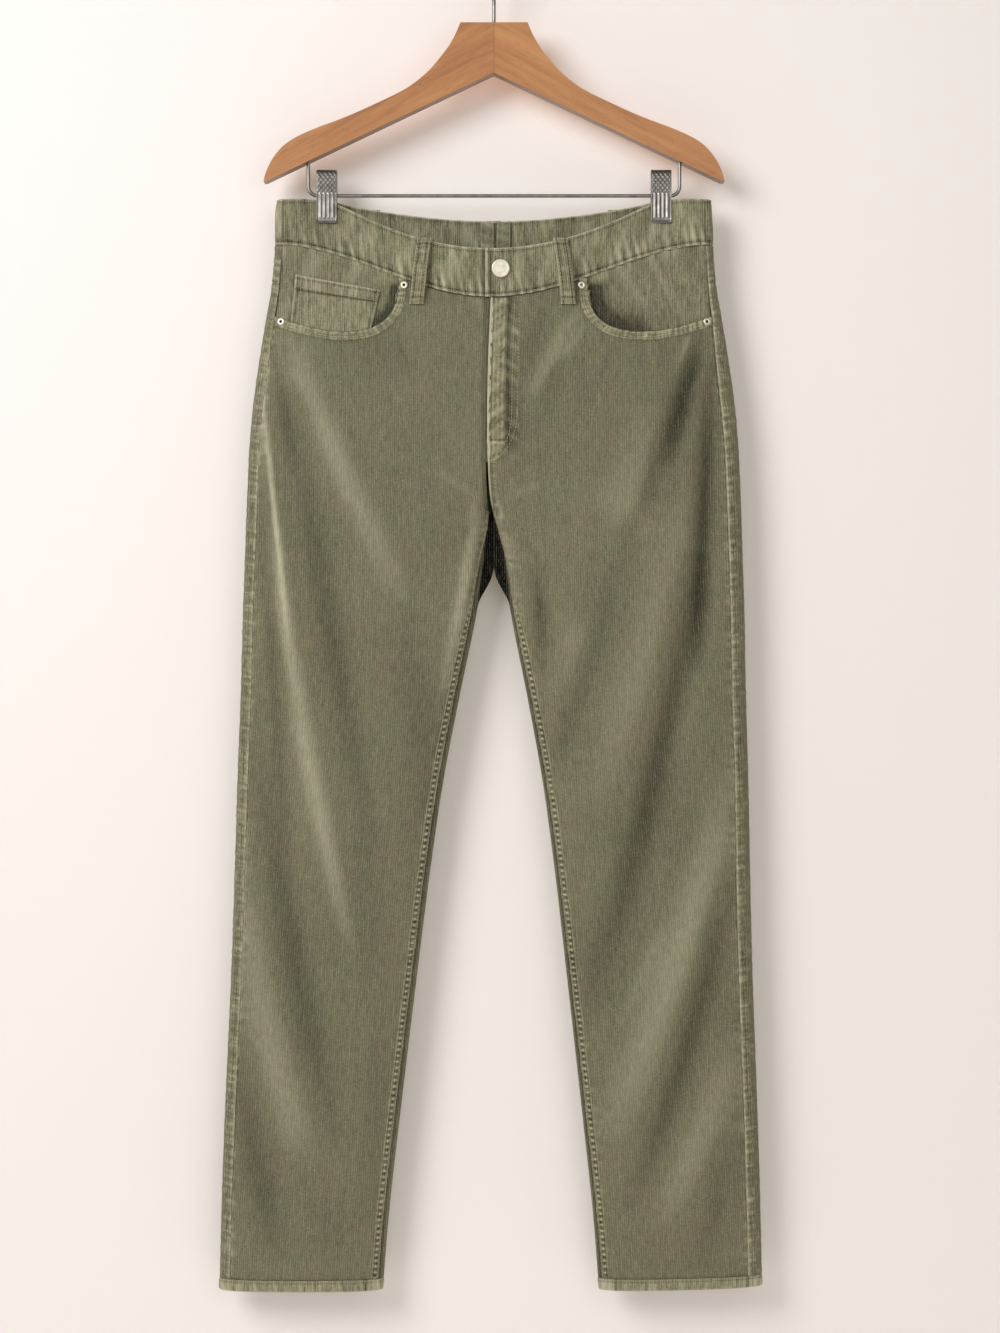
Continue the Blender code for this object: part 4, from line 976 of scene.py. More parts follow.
def around_back(side, top, foot, level, turns, wrapped=True):
    """tau, drop and distance over a back piece, between two seams that are functions of x.

    The columns go from the side seam round the outer edge, over the back, and below the
    crotch on round the inner edge. Drop depends on x and x on drop, so both are repeated.
    """
    strip = np.linspace(1, 0, 9)[:-1]
    drop = np.full((len(level), 1), 0.1)
    for _ in range(4):
        first, last = drop[:, :1], drop[:, -1:]
        start = tau_at(outseam_x(side, first) + SEAM_GAP / 2, first)
        wrap = np.pi - tau_at(inseam_x(side, last) - SEAM_GAP / 2, last)
        wrap = np.where(last > CROTCH_DROP + 0.002, wrap, 0)
        over = np.broadcast_to(turns, (len(level), len(turns)))
        tau = [start * strip, over]
        if wrapped:
            tau.append(-np.pi - wrap * np.array([[0.3, 0.55, 0.75, 0.9, 1.0]]))
        tau = np.concatenate(tau, axis=1)
        shown = form(side, tau, np.broadcast_to(drop, tau.shape))
        x = np.abs(shown[..., 0] - swayed(drop))
        drop = top(x) + (foot(x) - top(x)) * level[:, None]
    return tau, drop, x


def back_relief(side, tau, drop, x):
    """How far a back stands off the form, and its wear and painted light and shade, as
    front_relief does.
    """
    behind = tau < 0
    out = np.where(tau > 0, x - outseam_x(side, drop), FAR)
    inward = np.where(tau < -np.pi, inseam_x(side, drop) - x, FAR)
    seat = np.where((tau < -np.pi / 2) & (drop < CROTCH_DROP), x, FAR)
    off_yoke = np.abs(drop - yoke_seam(x))
    outer_pucker = ripple(drop + 0.3 * out, 0.0095, 91 + side)
    outer_fade = np.exp(-out / 0.016) * (tau > 0)
    yoke_pucker = ripple(x, 0.0100, 93 + side)
    yoke_fade = np.exp(-off_yoke / 0.010) * behind
    seat_pucker = ripple(drop, 0.0095, 95 + side)
    seat_fade = np.exp(-seat / 0.010)
    crease = fold_height(SMALL_CREASES, side, tau > 0, x, drop) * behind
    # painted highlight on fold crests and painted shade in fold valleys
    painted_fold = fold_height(PAINTED_FOLDS, side, tau > 0, x, drop) * behind
    lift = 0.0012 * outer_pucker * outer_fade + 0.0012 * yoke_pucker * yoke_fade
    lift += 0.0012 * seat_pucker * seat_fade + crease + PAINTED_FOLD_LIFT * painted_fold
    lift += rim(out, EDGE_ROLL) + rim(seat, EDGE_ROLL) + rim(inward, 0.0010)
    lift += np.where(behind, rim(off_yoke, EDGE_ROLL), 0)
    worn = 0.50 * bump(out, 0.0012) + 0.55 * crest_light_and_shade(outer_pucker) * outer_fade
    worn += 0.45 * bump(off_yoke, 0.0012) * behind + 0.40 * crest_light_and_shade(yoke_pucker) * yoke_fade
    worn += 0.40 * bump(seat, 0.0014) + 0.40 * crest_light_and_shade(seat_pucker) * seat_fade
    # painted shade below the yoke seam
    worn = worn - 0.30 * bump(off_yoke - 0.0095, 0.0018) * behind + painted_fold
    worn += CREASE_LIGHT_AND_SHADE * crease
    # painted shade along the inseam's edge
    worn = worn - 0.8 * bump(inward - 0.0010, 0.0011)
    # painted shade, darker still, in the hollow behind the crotch
    crotch = ease(drop, 0.42, 0.37) * ease(drop, CROTCH_DROP - 0.04, CROTCH_DROP)
    hollow = crotch * ease(np.abs(tau + np.pi), 0.22, 0.07)
    return lift, np.clip(worn, -1, 1) - 2.0 * hollow


def side_band(side, name):
    """The back's edge over the side seam, felled flat, from the yoke to the hem."""
    fall, share = unit_grid(1000, 9)
    foot = TROUSER_LENGTH - HEM_DEPTH - HEM_TILT[side] - 0.001
    drop = YOKE_SIDE_DROP + (foot - YOKE_SIDE_DROP) * fall + 0 * share
    wide = SIDE_BAND * (1 - 0.35 * ease(drop, 0.2, 0.08))
    x = np.minimum(outseam_x(side, drop) + 0.0004 + wide * share, along(OUTER, drop) - 0.0008)
    relief = back_relief(side, tau_at(x, drop), drop, x)[0] * ease(share, 0, 0.3)
    lift, worn = felled(drop, share, relief, 161 + side, 0.0062, 1.2, drawn=0.60)
    # painted shade over the strip beyond its pale edge
    worn = worn - 0.30 * ease(share, 0.10, 0.30)
    points = on_front(side, x, drop, lift)
    return band_piece("side_band_" + name, side, points, drop, share, worn)


for side, name in SIDE_NAMES.items():
    level = graded(290, (0.02, 8), (0.30, 92), (1.0, 190))
    turns = -math.pi * graded(48, (0.10, 9), (0.90, 30), (1.0, 9))
    tau, drop, x = around_back(
        side,
        lambda x: yoke_seam(x) + SEAM_GAP / 2,
        lambda x: hem_drop(side, x) - HEM_DEPTH - SEAM_GAP,
        level,
        turns,
    )
    lift, worn = back_relief(side, tau, drop, x)
    grain = wale_grain(side, np.where(tau < 0, 0.7 - x, x), drop)
    grids = left_to_right(side, surface(side, tau, drop, lift), grain, worn)
    piece = cloth("back_" + name, grids, WALL, CORD)
    "yoke_" + name
    side_band(side, name)


# ---------------------------------------------------------------- yokes and back pockets
# Each back hangs from a yoke, deeper at the centre than at the side. A plain patch pocket with
# a pointed foot is sewn onto each back.
PATCH_TOP = 0.150
PATCH_FOOT = 0.288
PATCH_POINT = 0.012
PATCH_INNER = 0.048
PATCH_OUTER = 0.184
PATCH_HEM = 0.022
PATCH_TAPER = 0.006
PATCH_RISE = WALL + 0.0006


def on_back(side, x, drop, lift=0.0):
    return surface(side, tau_at(x, drop, back=True), drop, lift)


for side, name in SIDE_NAMES.items():
    turns = -math.pi * graded(90, (0.10, 14), (0.90, 62), (0.999, 14))
    tau, drop, x = around_back(
        side,
        lambda x: back_seam(x) + SEAM_GAP / 2,
        lambda x: yoke_seam(x) - SEAM_GAP / 2,
        np.linspace(0, 1, 34),
        turns,
        wrapped=False,
    )
    lift, worn = back_relief(side, tau, drop, x)
    from_band = drop - back_seam(x)
    lift += 0.0008 * ripple(x, 0.011, 97) * np.exp(-from_band / 0.010)
    lift += rim(from_band, EDGE_ROLL)
    grain = wale_grain(side, np.where(tau < 0, 0.7 - x, x), drop)
    grids = left_to_right(side, surface(side, tau, drop, lift), grain, worn)
    piece = cloth("yoke_" + name, grids, WALL, CORD)
    fall = graded(62, (0.16, 16), (0.9, 34), (1.0, 12))[:, None]
    share = graded(56, (0.08, 10), (0.92, 36), (1.0, 10))[None, :]
    taper = PATCH_TAPER * fall
    x = PATCH_INNER + taper + (PATCH_OUTER - PATCH_INNER - 2 * taper) * share
    point = PATCH_POINT * (1 - np.abs(2 * share - 1))
    drop = PATCH_TOP + (PATCH_FOOT - PATCH_TOP) * fall + point * fall**3
    from_top = drop - PATCH_TOP
    from_side = np.minimum(share, 1 - share) * (PATCH_OUTER - PATCH_INNER) + 0 * fall
    from_foot = (1 - fall) * (PATCH_FOOT - PATCH_TOP) + 0 * share
    edge = np.minimum(from_side, from_foot)
    patch_hem = 1 - ease(from_top, PATCH_HEM - 0.001, PATCH_HEM + 0.001)
    edge_fade = bump(edge, 0.007)
    edge_pucker = ripple(drop + x, 0.0075, 101 + side) * edge_fade
    hem_pucker = ripple(x, 0.0085, 103 + side) * patch_hem
    lift = PATCH_RISE + 0.0011 * edge_pucker + 0.0006 * patch_hem + 0.0009 * hem_pucker
    lift += rim(edge, 0.0011) + rim(from_top, 0.0011)
    worn = 0.5 * bump(edge, 0.0013) + 0.8 * bump(from_top, 0.0013)
    worn += 0.45 * crest_light_and_shade(edge_pucker) * edge_fade
    # painted shade in the groove under the pocket's hem
    worn += 0.35 * crest_light_and_shade(hem_pucker) * patch_hem - 0.4 * bump(from_top - PATCH_HEM, 0.0015)
    grain = wale_grain(side, 0.83 - x, drop)
    grids = left_to_right(-side, on_back(side, x, drop, lift), grain, np.clip(worn, -1, 1))
    piece = cloth("back_pocket_" + name, grids, WALL, CORD)
    "back_" + name


# ---------------------------------------------------------------- waistband
# A folded band of the same cloth with its wales across it. Between the clips it hangs slack,
# the front lower than the back. The left end laps over the right, which runs on beneath.
BAND_WALL = 0.0026
LAY_GAP = 0.0006
FRONT_DIP = 0.050
LAP_EDGE = -0.0085
LAP_UNDER = 0.030
BAND_HIGH = 0.045


def front_top(x):
    return FRONT_DIP * np.clip(1 - (x / SLACK_HALF) ** 2, 0, 1) ** 1.15


def back_top(x):
    return BACK_DIP * np.clip(1 - (x / SLACK_HALF) ** 2, 0, 1)


def band_relief(run, from_top, from_seam, seed):
    """The band's rolled edges, the puckers that stand up from its seam and lean to one side,
    shorter ones under its top, and slower dents between, with pale worn edges, painted light
    and shade on the puckers, and painted shade in the grooves inside the edges."""
    low = ripple(run + 0.22 * from_seam, 0.0088, seed)
    low_fade = bump(from_seam, 0.019)
    high = ripple(run - 0.12 * from_top, 0.0110, seed + 1)
    high_fade = bump(from_top, 0.012)
    slow = ripple(run + 0.30 * from_top, 0.0310, seed + 2)
    slow_fade = np.sin(np.pi * from_top / (from_top + from_seam + 1e-6))
    lift = 0.0022 * low * low_fade + 0.0012 * high * high_fade + 0.0016 * slow * slow_fade
    lift += rim(from_top, 0.0014) + rim(from_seam, 0.0013)
    lift = lift - 0.0006 * bump(from_seam - 0.0032, 0.0010)
    lift = lift - 0.0005 * bump(from_top - 0.0030, 0.0010)
    worn = 1.0 * bump(from_top, 0.0014) + 0.90 * bump(from_seam, 0.0013)
    worn += 0.95 * crest_light_and_shade(low) * low_fade + 0.65 * crest_light_and_shade(high) * high_fade
    # painted shade in the grooves inside both stitched edges
    worn += 0.45 * crest_light_and_shade(slow) * slow_fade - 0.80 * bump(from_seam - 0.0036, 0.0012)
    return lift, worn - 0.60 * bump(from_top - 0.0036, 0.0012)


lap = FLY_EDGE - LAP_EDGE
for side, name in SIDE_NAMES.items():
    inner_end = -lap if side == LEFT else -LAP_UNDER
    run = graded(280, (0.030, 40), (0.97, 222), (1.0, 18))[None, :]
    fall = graded(28, (0.07, 5), (0.90, 18), (1.0, 5))[:, None]
    end = outseam_x(side, BAND_SIDE_DROP * fall) - SEAM_GAP / 2
    u = side * (inner_end + (end - inner_end) * run)
    top, foot = front_top(u), front_seam(u) - SEAM_GAP / 2
    drop = top + (foot - top) * fall
    lift, worn = band_relief(u + 0.3, drop - top, foot - drop, 111 + side)
    from_end = side * u - inner_end
    if side == RIGHT:
        tuck = 1 - ease(-u, lap + 0.0005, lap + 0.0045)
        lift = lift - (BAND_WALL + LAY_GAP) * tuck
    else:
        lift += rim(from_end, 0.0014) + 0.0004 * bump(from_end - 0.004, 0.003)
        # a pale worn end, with a painted shadow beside it
        worn += 1.1 * bump(from_end, 0.0018) - 0.4 * bump(from_end - 0.0042, 0.0014)
    grain = np.stack([u + 0.4, 0.3 + BAND_HIGH * fall + 0 * u], axis=-1)
    grids = left_to_right(side, fronts_across(u, drop, lift), grain, np.clip(worn, -1, 1))
    piece = cloth("waistband_front_" + name, grids, BAND_WALL, CORD_BAND)
    "clip_" + name

halves = []
for side in (LEFT, RIGHT):
    turns = -math.pi * graded(150, (0.08, 10), (0.5, 76), (0.9985, 64))
    tau, drop, x = around_back(
        side,
        back_top,
        lambda x: back_seam(x) - SEAM_GAP / 2,
        graded(26, (0.07, 5), (0.90, 16), (1.0, 5)),
        turns,
        wrapped=False,
    )
    top, foot = back_top(x), back_seam(x) - SEAM_GAP / 2
    lift, worn = band_relief(x, drop - top, foot - drop, 121 + side)
    lift = lift * ease(np.where(tau > 0, x - outseam_x(side, drop), FAR), -0.001, 0.004)
    run = np.where(tau < 0, 0.9 - x, 0.5 + x)
    grain = np.stack([side * run, 0.6 + drop], axis=-1)
    halves.append((surface(side, tau, drop, lift), grain, np.clip(worn, -1, 1)))
grids = [np.concatenate([left, right[:, ::-1]], axis=1) for left, right in zip(*halves)]
piece = cloth("waistband_back", grids, BAND_WALL, CORD_BAND)
rests_on = ["clip_right", "clip_left"]


# ---------------------------------------------------------------- belt loops
# Five folded strips over the waistband, two in front and three behind, sewn down at both ends
# and standing off between them.
LOOP_WALL = 0.0020
LOOP_WIDTH = 0.0140
LOOP_BOW = 0.0060
LOOP_TOP = (0.065, 0.0400)
LOOP_FOOT = (0.073, 0.1040)
BACK_LOOP_X = 0.118
BACK_LOOP_LENGTH = 0.058


def backs_across(u, drop, lift=0.0):
    """The backs across the centre line, read from the wearer's left."""
    u, drop, lift = np.broadcast_arrays(u, drop, np.asarray(lift, float))
    x = np.maximum(np.abs(u), 0.0006)
    right, left = on_back(RIGHT, x, drop, lift), on_back(LEFT, x, drop, lift)
    return np.where((u < 0)[..., None], right, left)


def belt_loop(name, across, start, end, seed):
    """A bowed strip: its lift is a power of a sine along it, with rolled sides and a valley
    between two rows of stitches, and it is thicker where its ends are turned under. Its edges
    are pale with wear, and the valley and the lines inside its ends are painted dark as shade."""
    s = graded(70, (0.12, 16), (0.88, 38), (1.0, 16))[:, None]
    share = np.linspace(-0.5, 0.5, 18)[None, :]
    length = math.hypot(end[0] - start[0], end[1] - start[1])
    turned = 1 - ease(np.minimum(s, 1 - s) * length, 0.0050, 0.0065)
    from_side = (0.5 - np.abs(share)) * LOOP_WIDTH + 0 * s
    from_end = np.minimum(s, 1 - s) * length + 0 * share
    pucker = ripple(s * length, 0.0065, seed) * np.cos(np.pi * share)
    lift = LOOP_WALL + LAY_GAP + LOOP_BOW * np.sin(math.pi * s) ** 0.6 + 0.0006 * turned
    lift = lift + 0.0010 * pucker - 0.0005 * bump(share * LOOP_WIDTH, 0.0016)
    lift += rim(from_side, 0.0012) + rim(from_end, 0.0010)
    u = start[0] + (end[0] - start[0]) * s + share * LOOP_WIDTH
    drop = start[1] + (end[1] - start[1]) * s + 0 * share
    worn = 1.1 * bump(from_side, 0.0013) + 0.9 * bump(from_end, 0.0012)
    # painted shade in the valley and inside the turned ends
    worn += 0.60 * crest_light_and_shade(pucker) - 0.85 * bump(np.abs(share) * LOOP_WIDTH - 0.0042, 0.0009)
    worn = worn - 0.7 * bump(from_end - 0.0062, 0.0010)
    grain = np.stack([share * LOOP_WIDTH + 0.01 * seed + 0 * s, s * length + 0 * share], axis=-1)
    from_outside = RIGHT if across is backs_across else LEFT
    grids = left_to_right(from_outside, across(u, drop, lift), grain, np.clip(worn, -1, 1))
    piece = cloth("belt_loop_" + name, grids, LOOP_WALL, CORD_BAND)


for side, name in SIDE_NAMES.items():
    ends = [(side * x, drop) for x, drop in (LOOP_TOP, LOOP_FOOT)]
    belt_loop("front_" + name, fronts_across, *ends, 131 + side)
    loop_top = float(back_top(BACK_LOOP_X)) - 0.001
    ends = [(side * BACK_LOOP_X, loop_top), (side * BACK_LOOP_X, loop_top + BACK_LOOP_LENGTH)]
    belt_loop("back_" + name, backs_across, *ends, 134 + side)
ends = [(0.0, BACK_DIP - 0.001), (0.0, BACK_DIP - 0.001 + BACK_LOOP_LENGTH)]
belt_loop("back_centre", backs_across, *ends, 137)


# ---------------------------------------------------------------- hems
# Each leg's end is turned up twice and stitched, and the thick fold draws into short upright
# ropes all round. It is pale along its foot and where the side seam and inseam run into it,
# with painted light and shade on the ropes and painted shade in the lines beside its edges.
for side, name in SIDE_NAMES.items():
    turns = np.linspace(0, 2 * math.pi, 260, endpoint=False)[None, :]
    fall = graded(14, (0.15, 3), (0.80, 7), (1.0, 4))[:, None]
    drop = TROUSER_LENGTH - HEM_DEPTH * (1 - fall) + 0 * turns
    x = np.abs(form(side, turns, drop)[..., 0] - swayed(drop))
    drop = hem_drop(side, x) - HEM_DEPTH * (1 - fall)
    points = form(side, turns, drop)
    steps = np.linalg.norm(np.diff(points, axis=1, append=points[:, :1]), axis=-1)
    around = np.concatenate([np.zeros((len(fall), 1)), np.cumsum(steps, axis=1)], axis=1)
    run = around[:, :-1]
    from_foot = HEM_DEPTH * (1 - fall) + 0 * run
    rope = ripple(run + 0.15 * from_foot, 0.0058, 141 + side)
    rope = rope * np.sin(np.pi * np.clip(fall, 0, 0.999)) ** 0.5
    lift = 0.0015 * rope + rim(from_foot, 0.0015) + rim(HEM_DEPTH - from_foot, 0.0011)
    from_corner = np.minimum(OUTER[-1] - x, x - INNER[-1])
    worn = 0.20 + 0.6 * bump(from_foot, 0.0014) + 0.50 * crest_light_and_shade(rope)
    worn += 0.7 * bump(HEM_DEPTH - from_foot, 0.0008)
    # painted shade in the groove under the top edge, and below in the lines beside the corners
    worn = worn - 0.5 * bump(from_foot - HEM_DEPTH + 0.0024, 0.0008)
    worn += 0.45 * ease(from_corner, 0.0150, 0.0128)
    worn = worn - 0.9 * bump(from_corner - 0.0156, 0.0010)
    down = np.broadcast_to(0.9 + HEM_DEPTH * fall, around.shape)
    grain = np.stack([side * around, down], axis=-1)
    points = surface(side, turns + 0 * drop, drop, lift)
    grids = left_to_right(-side, points, grain, np.clip(worn, -1, 1))
    piece = cloth("hem_" + name, grids, BAND_WALL, CORD_BAND, closed=True)
    "front_" + name
    "back_" + name


# ---------------------------------------------------------------- inner label and tab
# A plain woven label and a small tab are sewn inside the centre back of the waistband, and
# show over the dip of the front. They are thin tape that cockles a little as it hangs.
LABEL_WALL = 0.0006


def woven_tape(name, colour):
    """Fine flat weave: two sines across each other under a little soft noise, paler on crests
    and edges and darker in valleys by the attribute, as painted light and shade.
    """
    made, start, shader = new_finish(name, colour, 0.85)
    place = start.place()
    weave = (place.part(0) * 7000).sine() * (place.part(2) * 6000).sine()
    worn = start.attribute("worn")
    tone = 0.95 + weave * 0.10 + (place.noise(scale=420.0) - 0.5) * 1.1 + worn * 0.45
    start.feed(shader.inputs["Base Color"], tone.dimmed(colour))
    start.feed(shader.inputs["Normal"], weave.bumped(0.4, 0.0002))
    return made


for side, name, x0, x1, foot, slot, colour in (
    (RIGHT, "inner_label", 0.0006, 0.0136, 0.0550, "label_weave", linear(138, 133, 112)),
    (LEFT, "inner_tab", 0.0030, 0.0165, 0.0540, "tab_weave", linear(131, 130, 106)),
):
    fall, share = unit_grid(26, 14)
    x = x0 + (x1 - x0) * share + 0 * fall
    drop = BACK_DIP + 0.0015 + (foot - BACK_DIP - 0.0015) * fall + 0 * share
    cockle = ripple(drop + 0.3 * x, 0.0105, 151 + side)
    off = 0.0012 * fall * cockle + 0.0006 * fall
    edge = np.minimum(share, 1 - share) * (x1 - x0)
    # painted light and shade of the cockles, pale edges, and painted shade in the line inside them
    worn = 0.9 * crest_light_and_shade(cockle) + 0.6 * bump(edge - 0.0008, 0.0007)
    worn = worn - 0.7 * bump(edge - 0.0024, 0.0008)
    points = left_to_right(-side, on_back(side, x, drop, -(BAND_WALL + 0.0009) - off))[0]
    grids = points, np.stack([x, drop], axis=-1), np.clip(worn, -1, 1)
    piece = cloth(name, grids, LABEL_WALL, woven_tape(slot, colour))


# ---------------------------------------------------------------- topstitching
# Pale thread of the cloth's own colour holds every edge: single rows along the band, the hems
# and the loops, double rows at the pockets and the seat, and bar tacks where edges are pulled.
STITCH_PITCH = 0.0034
STITCH_LENGTH = 0.0026
THREAD_R = 0.00036
RAY_START = 0.0022  # above the form, under the belt loops
THREAD = linear(162, 158, 130)
TOPSTITCH = 0.0026  # in from a folded edge
LOOP_ROW = 0.0048  # out from a loop's middle
OVER_LOOP = 0.0140  # above the form, over the belt loops
TACK = (0.0110, 0.0022)  # a loop's bar tack, wide and high
HEM_ROW = 0.0017
PATCH_REACH = 0.0045


def twisted_thread():
    """Matt cotton: the colour dims and lightens in fine diagonal steps, as plies do."""
    made, start, shader = new_finish("twisted_thread", THREAD, 0.8)
    place = start.place()
    tone = 0.80 + place.noise(scale=900.0, detail=1.0) * 0.42
    start.feed(shader.inputs["Base Color"], tone.dimmed(THREAD))
    start.feed(shader.inputs["Normal"], place.noise(scale=2600.0).bumped(0.5, 0.0002))
    return made


def shown_cloth():
    """One search tree over the outer faces of every cloth piece made so far."""
    corners, faces, count = [], [], 0
    for piece in CLOTH_PIECES:
        mesh = piece.data
        flat = np.empty(len(mesh.vertices) * 3)
        mesh.vertices.foreach_get("co", flat)
        quads = np.empty(len(mesh.loops), int)
        mesh.loops.foreach_get("vertex_index", quads)
        corners.append(flat.reshape(-1, 3))
        faces.append(quads.reshape(-1, 4) + count)
        count += len(mesh.vertices)
    corners, faces = np.concatenate(corners), np.concatenate(faces)
    return BVHTree.FromPolygons(corners.tolist(), faces.tolist())


tree = shown_cloth()


def row_of_stitches(
    across, u, drop, reach=RAY_START, pitch=STITCH_PITCH, length=STITCH_LENGTH
):
    """Both ends and the outward direction of each stitch along a line on the cloth.

    The line is spaced out evenly by its real length, then each end drops along the normal
    onto the topmost cloth that lies within reach of the form.
    """
    u, drop = np.broadcast_arrays(np.asarray(u, float), np.asarray(drop, float))
    share = np.linspace(0, len(u) - 1, 16 * len(u))
    u = np.interp(share, np.arange(len(u)), u)
    drop = np.interp(share, np.arange(len(drop)), drop)
    low, high = across(u, drop, 0.0), across(u, drop, reach)
    run = np.append(0, np.cumsum(np.linalg.norm(np.diff(high, axis=0), axis=1)))
    count = max(1, int((run[-1] - length) / pitch) + 1)
    starts = (run[-1] - length - (count - 1) * pitch) / 2 + pitch * np.arange(count)
    ends = []
    for where in (starts, starts + length):
        foot = np.stack([np.interp(where, run, low[:, k]) for k in range(3)], axis=1)
        head = np.stack([np.interp(where, run, high[:, k]) for k in range(3)], axis=1)
        ends.append((foot, head))
    outward = ends[0][1] - ends[0][0]
    outward /= np.linalg.norm(outward, axis=1, keepdims=True)
    placed = []
    for foot, head in ends:
        hits = [tree.ray_cast(Vector(h), Vector(-o), 0.02) for h, o in zip(head, outward)]
        placed.append(np.array([hit[0] if hit[0] else f for hit, f in zip(hits, foot)]))
    return placed[0], placed[1], outward


def thread_mesh(name, rows):
    """Every stitch is a five-sided capsule that rises in the middle and dips at both ends."""
    start, end, outward = (np.concatenate([row[k] for row in rows]) for k in range(3))
    along_it = end - start
    sideways = np.cross(along_it, outward)
    sideways /= np.maximum(np.linalg.norm(sideways, axis=1, keepdims=True), 1e-12)
    at = np.array([0.0, 0.22, 0.78, 1.0])
    swell = np.array([0.55, 1.0, 1.0, 0.55]) * THREAD_R
    rise = np.array([-0.6, 0.45, 0.45, -0.6]) * THREAD_R
    turn = np.linspace(0, 2 * math.pi, 5, endpoint=False)
    ring = np.stack([np.cos(turn), np.sin(turn)])
    points = start[:, None, None] + along_it[:, None, None] * at[:, None, None]
    points = points + sideways[:, None, None] * (swell[:, None] * ring[0])[..., None]
    height = swell[:, None] * ring[1] + rise[:, None]
    points = points + outward[:, None, None] * height[..., None]
    index = numbered(4, 5)
    shift = index.size * np.arange(len(start))[:, None, None]
    sides = grid_quads(numbered(4, 5, closed=True)) + shift
    caps = np.stack([index[0], index[3][::-1]]) + shift
    faces = sides.reshape(-1, 4).tolist() + caps.reshape(-1, 5).tolist()
    return smooth_mesh(name, points, faces)


def bar_tack(across, u, drop, wide, high, reach=RAY_START):
    """A short block of stitches laid close side by side: wide along u, high down the cloth."""
    rows = []
    for k in np.linspace(-0.5, 0.5, max(3, round(high / 0.0009))):
        line = np.array([u - wide / 2, u + wide / 2])
        rows.append(row_of_stitches(across, line, drop + k * high, reach, wide, wide * 0.86))
    return rows


def one_side(on, side):
    return lambda x, drop, lift: on(side, x, drop, lift)


thread_finish = twisted_thread()
front_rows, back_rows = [], []
for side, name in SIDE_NAMES.items():
    front, back = one_side(on_front, side), one_side(on_back, side)
    inner_end = LAP_EDGE + 0.0025 if side == LEFT else -LAP_EDGE + 0.0015
    end = outseam_x(side, 0.02) - 0.001
    u = side * np.linspace(side * inner_end if side == LEFT else inner_end, end, 60)
    front_rows.append(row_of_stitches(fronts_across, u, front_top(u) + TOPSTITCH))
    front_rows.append(row_of_stitches(fronts_across, u, front_seam(u) - TOPSTITCH))
    for reach in (0.0017, 0.0072):
        line_x, line_drop = MOUTH_LINES[side]
        out_x, out_drop = np.gradient(line_drop), -np.gradient(line_x)
        size = np.hypot(out_x, out_drop)
        x, drop = line_x - out_x / size * reach, line_drop - out_drop / size * reach
        keep = (x < outseam_x(side, drop) - 0.001) & (drop > front_seam(x) + 0.001)
        front_rows.append(row_of_stitches(front, x[keep], drop[keep]))
    foot = TROUSER_LENGTH - HEM_DEPTH - 0.001
    drop = np.linspace(YOKE_SIDE_DROP + 0.001, foot - HEM_TILT[side], 200)
    front_rows.append(row_of_stitches(front, outseam_x(side, drop) + 0.0017, drop))
    drop = np.linspace(CROTCH_DROP + 0.090, foot, 200)
    front_rows.append(row_of_stitches(front, inseam_x(side, drop) + 0.0014, drop))
    x = np.linspace(inseam_x(side, 1.05) + 0.001, outseam_x(side, 1.05) + 0.008, 40)
    front_rows.append(row_of_stitches(front, x, hem_drop(side, x) - HEM_DEPTH + HEM_ROW))
    x = np.linspace(INNER[-1] + 0.001, OUTER[-1] - 0.001, 40)
    back_rows.append(row_of_stitches(back, x, hem_drop(side, x) - HEM_DEPTH + HEM_ROW))
    x = np.linspace(0.001, 0.206, 50)
    back_rows.append(row_of_stitches(back, x, back_top(x) + TOPSTITCH))
    back_rows.append(row_of_stitches(back, x, back_seam(x) - TOPSTITCH))
    for below in (0.0018, 0.0072):
        back_rows.append(row_of_stitches(back, x, yoke_seam(x) + below))
    for inset in (0.0018, 0.0070):
        low, high = PATCH_INNER + inset, PATCH_OUTER - inset
        x = [low, low + PATCH_TAPER, (low + high) / 2, high - PATCH_TAPER, high]
        foot = PATCH_FOOT - inset
        drop = [PATCH_TOP + 0.001, foot, foot + PATCH_POINT, foot, PATCH_TOP + 0.001]
        back_rows.append(row_of_stitches(back, x, drop, PATCH_REACH))
    x = np.array([PATCH_INNER + 0.002, PATCH_OUTER - 0.002])
    back_rows.append(row_of_stitches(back, x, PATCH_TOP + PATCH_HEM - 0.0015, PATCH_REACH))
    start, end = (side * LOOP_TOP[0], LOOP_TOP[1]), (side * LOOP_FOOT[0], LOOP_FOOT[1])
    for inset in (-LOOP_ROW, LOOP_ROW):
        u = np.array([start[0], end[0]]) + inset
        drop = np.array([start[1] + 0.002, end[1] - 0.002])
        front_rows.append(row_of_stitches(fronts_across, u, drop, OVER_LOOP))
        top = float(back_top(BACK_LOOP_X)) + 0.001
        u, drop = side * BACK_LOOP_X + np.array([inset, inset]), np.array([top, top + 0.054])
        back_rows.append(row_of_stitches(backs_across, u, drop, OVER_LOOP))
    for (u, drop), down in ((start, 0.0030), (end, -0.0030)):
        front_rows += bar_tack(fronts_across, u, drop + down, *TACK, OVER_LOOP)
    for drop in (top + 0.002, top + BACK_LOOP_LENGTH - 0.005):
        back_rows += bar_tack(backs_across, side * BACK_LOOP_X, drop, *TACK, OVER_LOOP)

